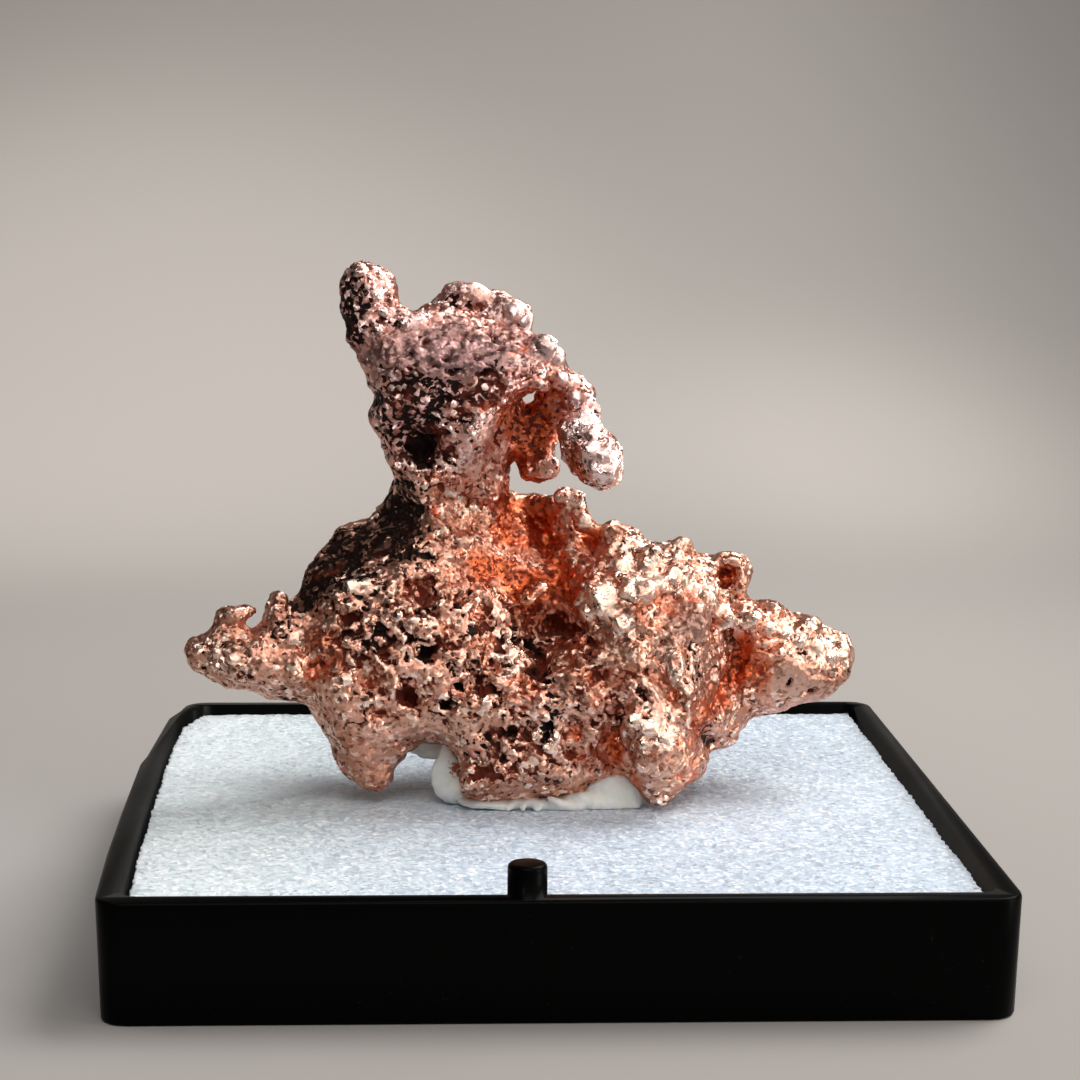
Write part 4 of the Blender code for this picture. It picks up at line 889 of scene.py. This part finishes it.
def buildFoam():
    low, high = (Vector(corner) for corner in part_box("foam_insert"))
    middle = (low + high) / 2
    size = high - low
    bpy.ops.object.select_all(action="DESELECT")
    rows = foam["rows"]
    bpy.ops.mesh.primitive_grid_add(
        x_subdivisions=rows, y_subdivisions=rows, size=size.y, location=(middle.x, middle.y, high.z),
    )
    piece = bpy.context.object
    piece.name = "foamInsert"
    bpy.ops.object.transform_apply(location=True, rotation=True, scale=True)
    bpy.ops.object.mode_set(mode="EDIT")
    bpy.ops.transform.resize(value=(size.x / size.y, 1, 1), center_override=middle)
    bpy.ops.mesh.select_mode(type="EDGE")
    bpy.ops.mesh.select_all(action="DESELECT")
    bpy.ops.mesh.select_non_manifold()
    for share in foam["rings"]:
        bpy.ops.mesh.extrude_region_move(TRANSFORM_OT_translate={"value": (0, 0, -size.z * share)})
    bpy.ops.mesh.edge_face_add()
    bpy.ops.mesh.select_all(action="SELECT")
    bpy.ops.mesh.normals_make_consistent(inside=False)
    bpy.ops.object.mode_set(mode="OBJECT")

    places = meshArrays(piece)[0]
    half = np.array(size[:2]) / 2
    toMiddle = np.array(middle[:2]) - places[:, :2]
    inset = half - np.abs(toMiddle)  # distance in from the sides
    nibble = foam["crumble"] * mm * np.clip(0.5 + 0.5 * wobble(places, 0.35 * mm, 5), 0, 2)
    places[:, :2] += np.sign(toMiddle) * nibble[:, None] * np.exp(-(inset / (foam["crumbleReach"] * mm)) ** 2)
    # the left side follows the bowed wall
    back, bow = np.array(foam["bow"]).T * mm
    left = high.x - (low.x + bow.max() - np.interp(places[:, 1], back, bow))
    places[:, 0] = high.x - (high.x - places[:, 0]) * left / size.x
    # and its front leaves room for the peg
    pegMiddle = np.array((tray["pegX"], tray["front"] + tray["pegRadius"] + tray["pegInset"])) * mm
    fromPeg = places[:, :2] - pegMiddle
    gap = np.linalg.norm(fromPeg, axis=1)
    reach = (tray["pegRadius"] + foam["pegGap"]) * mm
    inside = gap < reach
    places[inside, :2] = pegMiddle + fromPeg[inside] / gap[inside, None] * reach
    moveTo(piece, places)
    setWeights(piece, "skin", (places[:, 2] - low.z) / size.z)
    for name, layer in foam["reliefs"].items():
        addRelief(piece, name, layer)
    applyModifiers(piece)
    piece.data.shade_smooth()
    finishPiece(piece, foamFinish(), "foam_insert")


def foamFinish():
    finish = newFinish("whiteFoam")
    place = finish.place()
    cells = finish.cells(place, foam["cell"] * mm)
    grain = finish.noise(place, foam["grain"] * mm, 2, 0.6)
    # painted shade: darker between the grains, where the bump sinks
    shade = finish.mixColour(cells.step(0.3, 0.9), foam["shade"], foam["paintedHollowShade"])
    paintedLightLeftFade = [edge * mm for edge in foam["paintedLightLeftFade"]]
    # painted light: lighter and bluer towards the left, where the nugget shades the foam
    shade = finish.mixColour(finish.along("x", place).step(*paintedLightLeftFade), foam["paintedLightLeft"], shade)
    chance = finish.chance(place, foam["speck"] * mm)
    # painted glints: white specks on a few small cells
    shade = finish.mixColour((chance - cells * 0.2).step(0.80, 0.86) * 0.7, shade, foam["paintedGlintShade"])
    shade = finish.mixColour((0.25 - chance).step(0.0, 0.2) * 0.25, shade, foam["speckShade"])
    normal = finish.facets(finish.node("NewGeometry", {}, {}, 1), place, foam["facet"] * mm, 0.9)
    depth = foam["bumpDepth"] * mm
    values = {"Strength": 0.5, "Distance": depth, "Height": grain - cells, "Normal": normal}
    bump = finish.node("Bump", {}, values)
    return finish.surface({
        "Base Color": shade, "Roughness": 0.24 + 0.4 * grain, "Normal": bump, "Subsurface Weight": 0.5,
        "Subsurface Radius": (1.0, 1.0, 1.0), "Subsurface Scale": 1.5 * mm,
    })


putty = {
    "voxel": 0.075 * mm,
    "dents": {"kind": "CLOUDS", "size": 0.5, "height": 0.16},  # in mm
    "floor": 4.05,  # height of its underside, in mm
    # dabs pressed together: middle, half sizes and turns in degrees
    "dabs": [
        ((-3.85, -1.35, 5.05), (0.70, 0.30, 1.05), (0, -10, 12)),
        ((-4.0, -1.3, 5.9), (0.26, 0.22, 0.55), (0, 8, 10)),
        ((-3.5, -1.5, 4.55), (0.55, 0.32, 0.5), (0, -35, 0)),
        ((-4.75, 0.9, 5.75), (0.95, 0.3, 0.42), (0, 8, -15)),
        ((-3.3, -0.4, 4.5), (0.9, 1.1, 0.6), (0, 0, 0)),
        ((-1.9, -1.85, 4.2), (1.6, 0.85, 0.24), (0, 3, 8)),
        ((-0.9, -2.2, 4.25), (1.1, 0.35, 0.22), (0, -5, -4)),
        ((0.7, -1.9, 4.15), (1.3, 0.75, 0.36), (0, -2, 0)),
        ((2.75, -1.85, 4.45), (1.20, 0.50, 0.85), (0, 6, -4)),
        ((2.2, -2.1, 4.2), (1.6, 0.4, 0.42), (0, 6, 0)),
        ((0.75, -2.5, 4.22), (0.85, 0.2, 0.17), (0, 26, 6)),
        ((0.0, 0.6, 4.4), (3.6, 1.9, 0.9), (0, 0, 0)), ((-2.6, 1.2, 4.7), (1.7, 1.4, 1.1), (0, 0, 0)),
        ((-0.9, -2.65, 4.14), (0.12, 0.14, 0.16), (0, 0, 0)),
        ((-1.5, -2.6, 4.14), (0.11, 0.13, 0.14), (0, 0, 0)),
        ((-0.35, -2.62, 4.14), (0.18, 0.14, 0.12), (0, 0, 0)),
        ((-3.7, 1.0, 5.35), (0.6, 0.35, 0.40), (0, 0, 0)),
    ],
    "pale": (0.97, 1.0, 0.90),
    "shaded": (0.86, 0.92, 0.79),
    "stainPlace": (-3.45, -1.6, 5.55),
    "stainReach": 0.5,
    "stainShade": (0.42, 0.13, 0.06),
    # sizes in mm
    "cloud": 0.8,
    "smear": 0.18,
    "fingerMark": 0.22,
    "lump": 0.2,
    "bumpDepth": 0.05,
}


def buildPutty():
    bpy.ops.object.select_all(action="DESELECT")
    made = []
    for place, half, turn in putty["dabs"]:
        bpy.ops.mesh.primitive_uv_sphere_add(
            segments=32, ring_count=20, radius=mm, location=Vector(place) * mm,
            rotation=[math.radians(angle) for angle in turn], scale=half,
        )
        made.append(bpy.context.object)
    piece = made[0]
    joinTo(piece, made[1:])
    piece.name = "mountingPutty"
    bpy.ops.object.transform_apply(location=True, rotation=True, scale=True)
    addRemesh(piece, putty["voxel"])
    addSmooth(piece, 0.5, 2)
    addRelief(piece, "dents", putty["dents"])
    applyModifiers(piece)
    places = meshArrays(piece)[0]
    places[:, 2] = np.maximum(places[:, 2], putty["floor"] * mm)  # pressed flat on the foam
    moveTo(piece, places)
    finishPiece(piece, puttyFinish(), "putty")


def puttyFinish():
    finish = newFinish("palePutty")
    place = finish.place()
    cloud = finish.noise(place, putty["cloud"] * mm, 3)
    shade = finish.mixColour(cloud.step(0.35, 0.65), putty["pale"], putty["shaded"])
    stainPlace = [value * mm for value in putty["stainPlace"]]
    gap = finish.node("VectorMath", {"operation": "DISTANCE"}, {0: place, 1: stainPlace}, 1)
    smear = finish.noise(place, putty["smear"] * mm, 3) + 0.35 - gap * (0.5 / (putty["stainReach"] * mm))
    shade = finish.mixColour(smear.step(0.48, 0.62), shade, putty["stainShade"])
    drawn = finish.node("Mapping", {}, {"Vector": place, "Scale": (1.0, 1.0, 0.15)})
    marks = finish.noise(drawn, putty["fingerMark"] * mm, 2)
    height = marks + 0.4 * finish.noise(place, putty["lump"] * mm, 3)
    values = {"Strength": 0.5, "Distance": putty["bumpDepth"] * mm, "Height": height}
    bump = finish.node("Bump", {}, values)
    return finish.surface({
        "Base Color": shade, "Roughness": 0.38 + 0.2 * cloud, "Normal": bump, "Subsurface Weight": 0.7,
        "Subsurface Radius": (1.0, 1.0, 0.8), "Subsurface Scale": 0.9 * mm,
    })


tray = {
    "smoothAngle": 35,  # degrees
    "shade": (0.0012, 0.0014, 0.0014),
    "dustShade": (0.008, 0.009, 0.009),
    # places and sizes in mm
    "front": -16.0,
    "pegX": -1.2,
    "pegRadius": 0.69,
    "pegInset": 0.1,
    "dust": 0.2,
    "sheen": 3,
    "ripple": 0.6,
    "rippleDepth": 0.02,
}


def buildTray():
    piece = copyOfNode("tray", "trayBase")
    bpy.ops.object.shade_smooth_by_angle(angle=math.radians(tray["smoothAngle"]))
    finishPiece(piece, plasticFinish(), "tray")


def plasticFinish():
    finish = newFinish("blackPlastic")
    place = finish.place()
    dust = finish.noise(place, tray["dust"] * mm, 2).step(0.7, 0.8)
    rough = 0.22 + 0.16 * finish.noise(place, tray["sheen"] * mm, 3) + 0.3 * dust
    shade = finish.mixColour(dust, tray["shade"], tray["dustShade"])
    height = finish.noise(place, tray["ripple"] * mm, 2)
    values = {"Strength": 0.08, "Distance": tray["rippleDepth"] * mm, "Height": height}
    bump = finish.node("Bump", {}, values)
    return finish.surface({
        "Base Color": shade, "Roughness": rough, "Normal": bump, "Specular IOR Level": 0.03,
    })


addCamera()
addStage()
addLights()
addWorld()
bpy.context.scene.view_settings.view_transform = "Standard"
buildNugget()
buildFoam()
buildPutty()
buildTray()
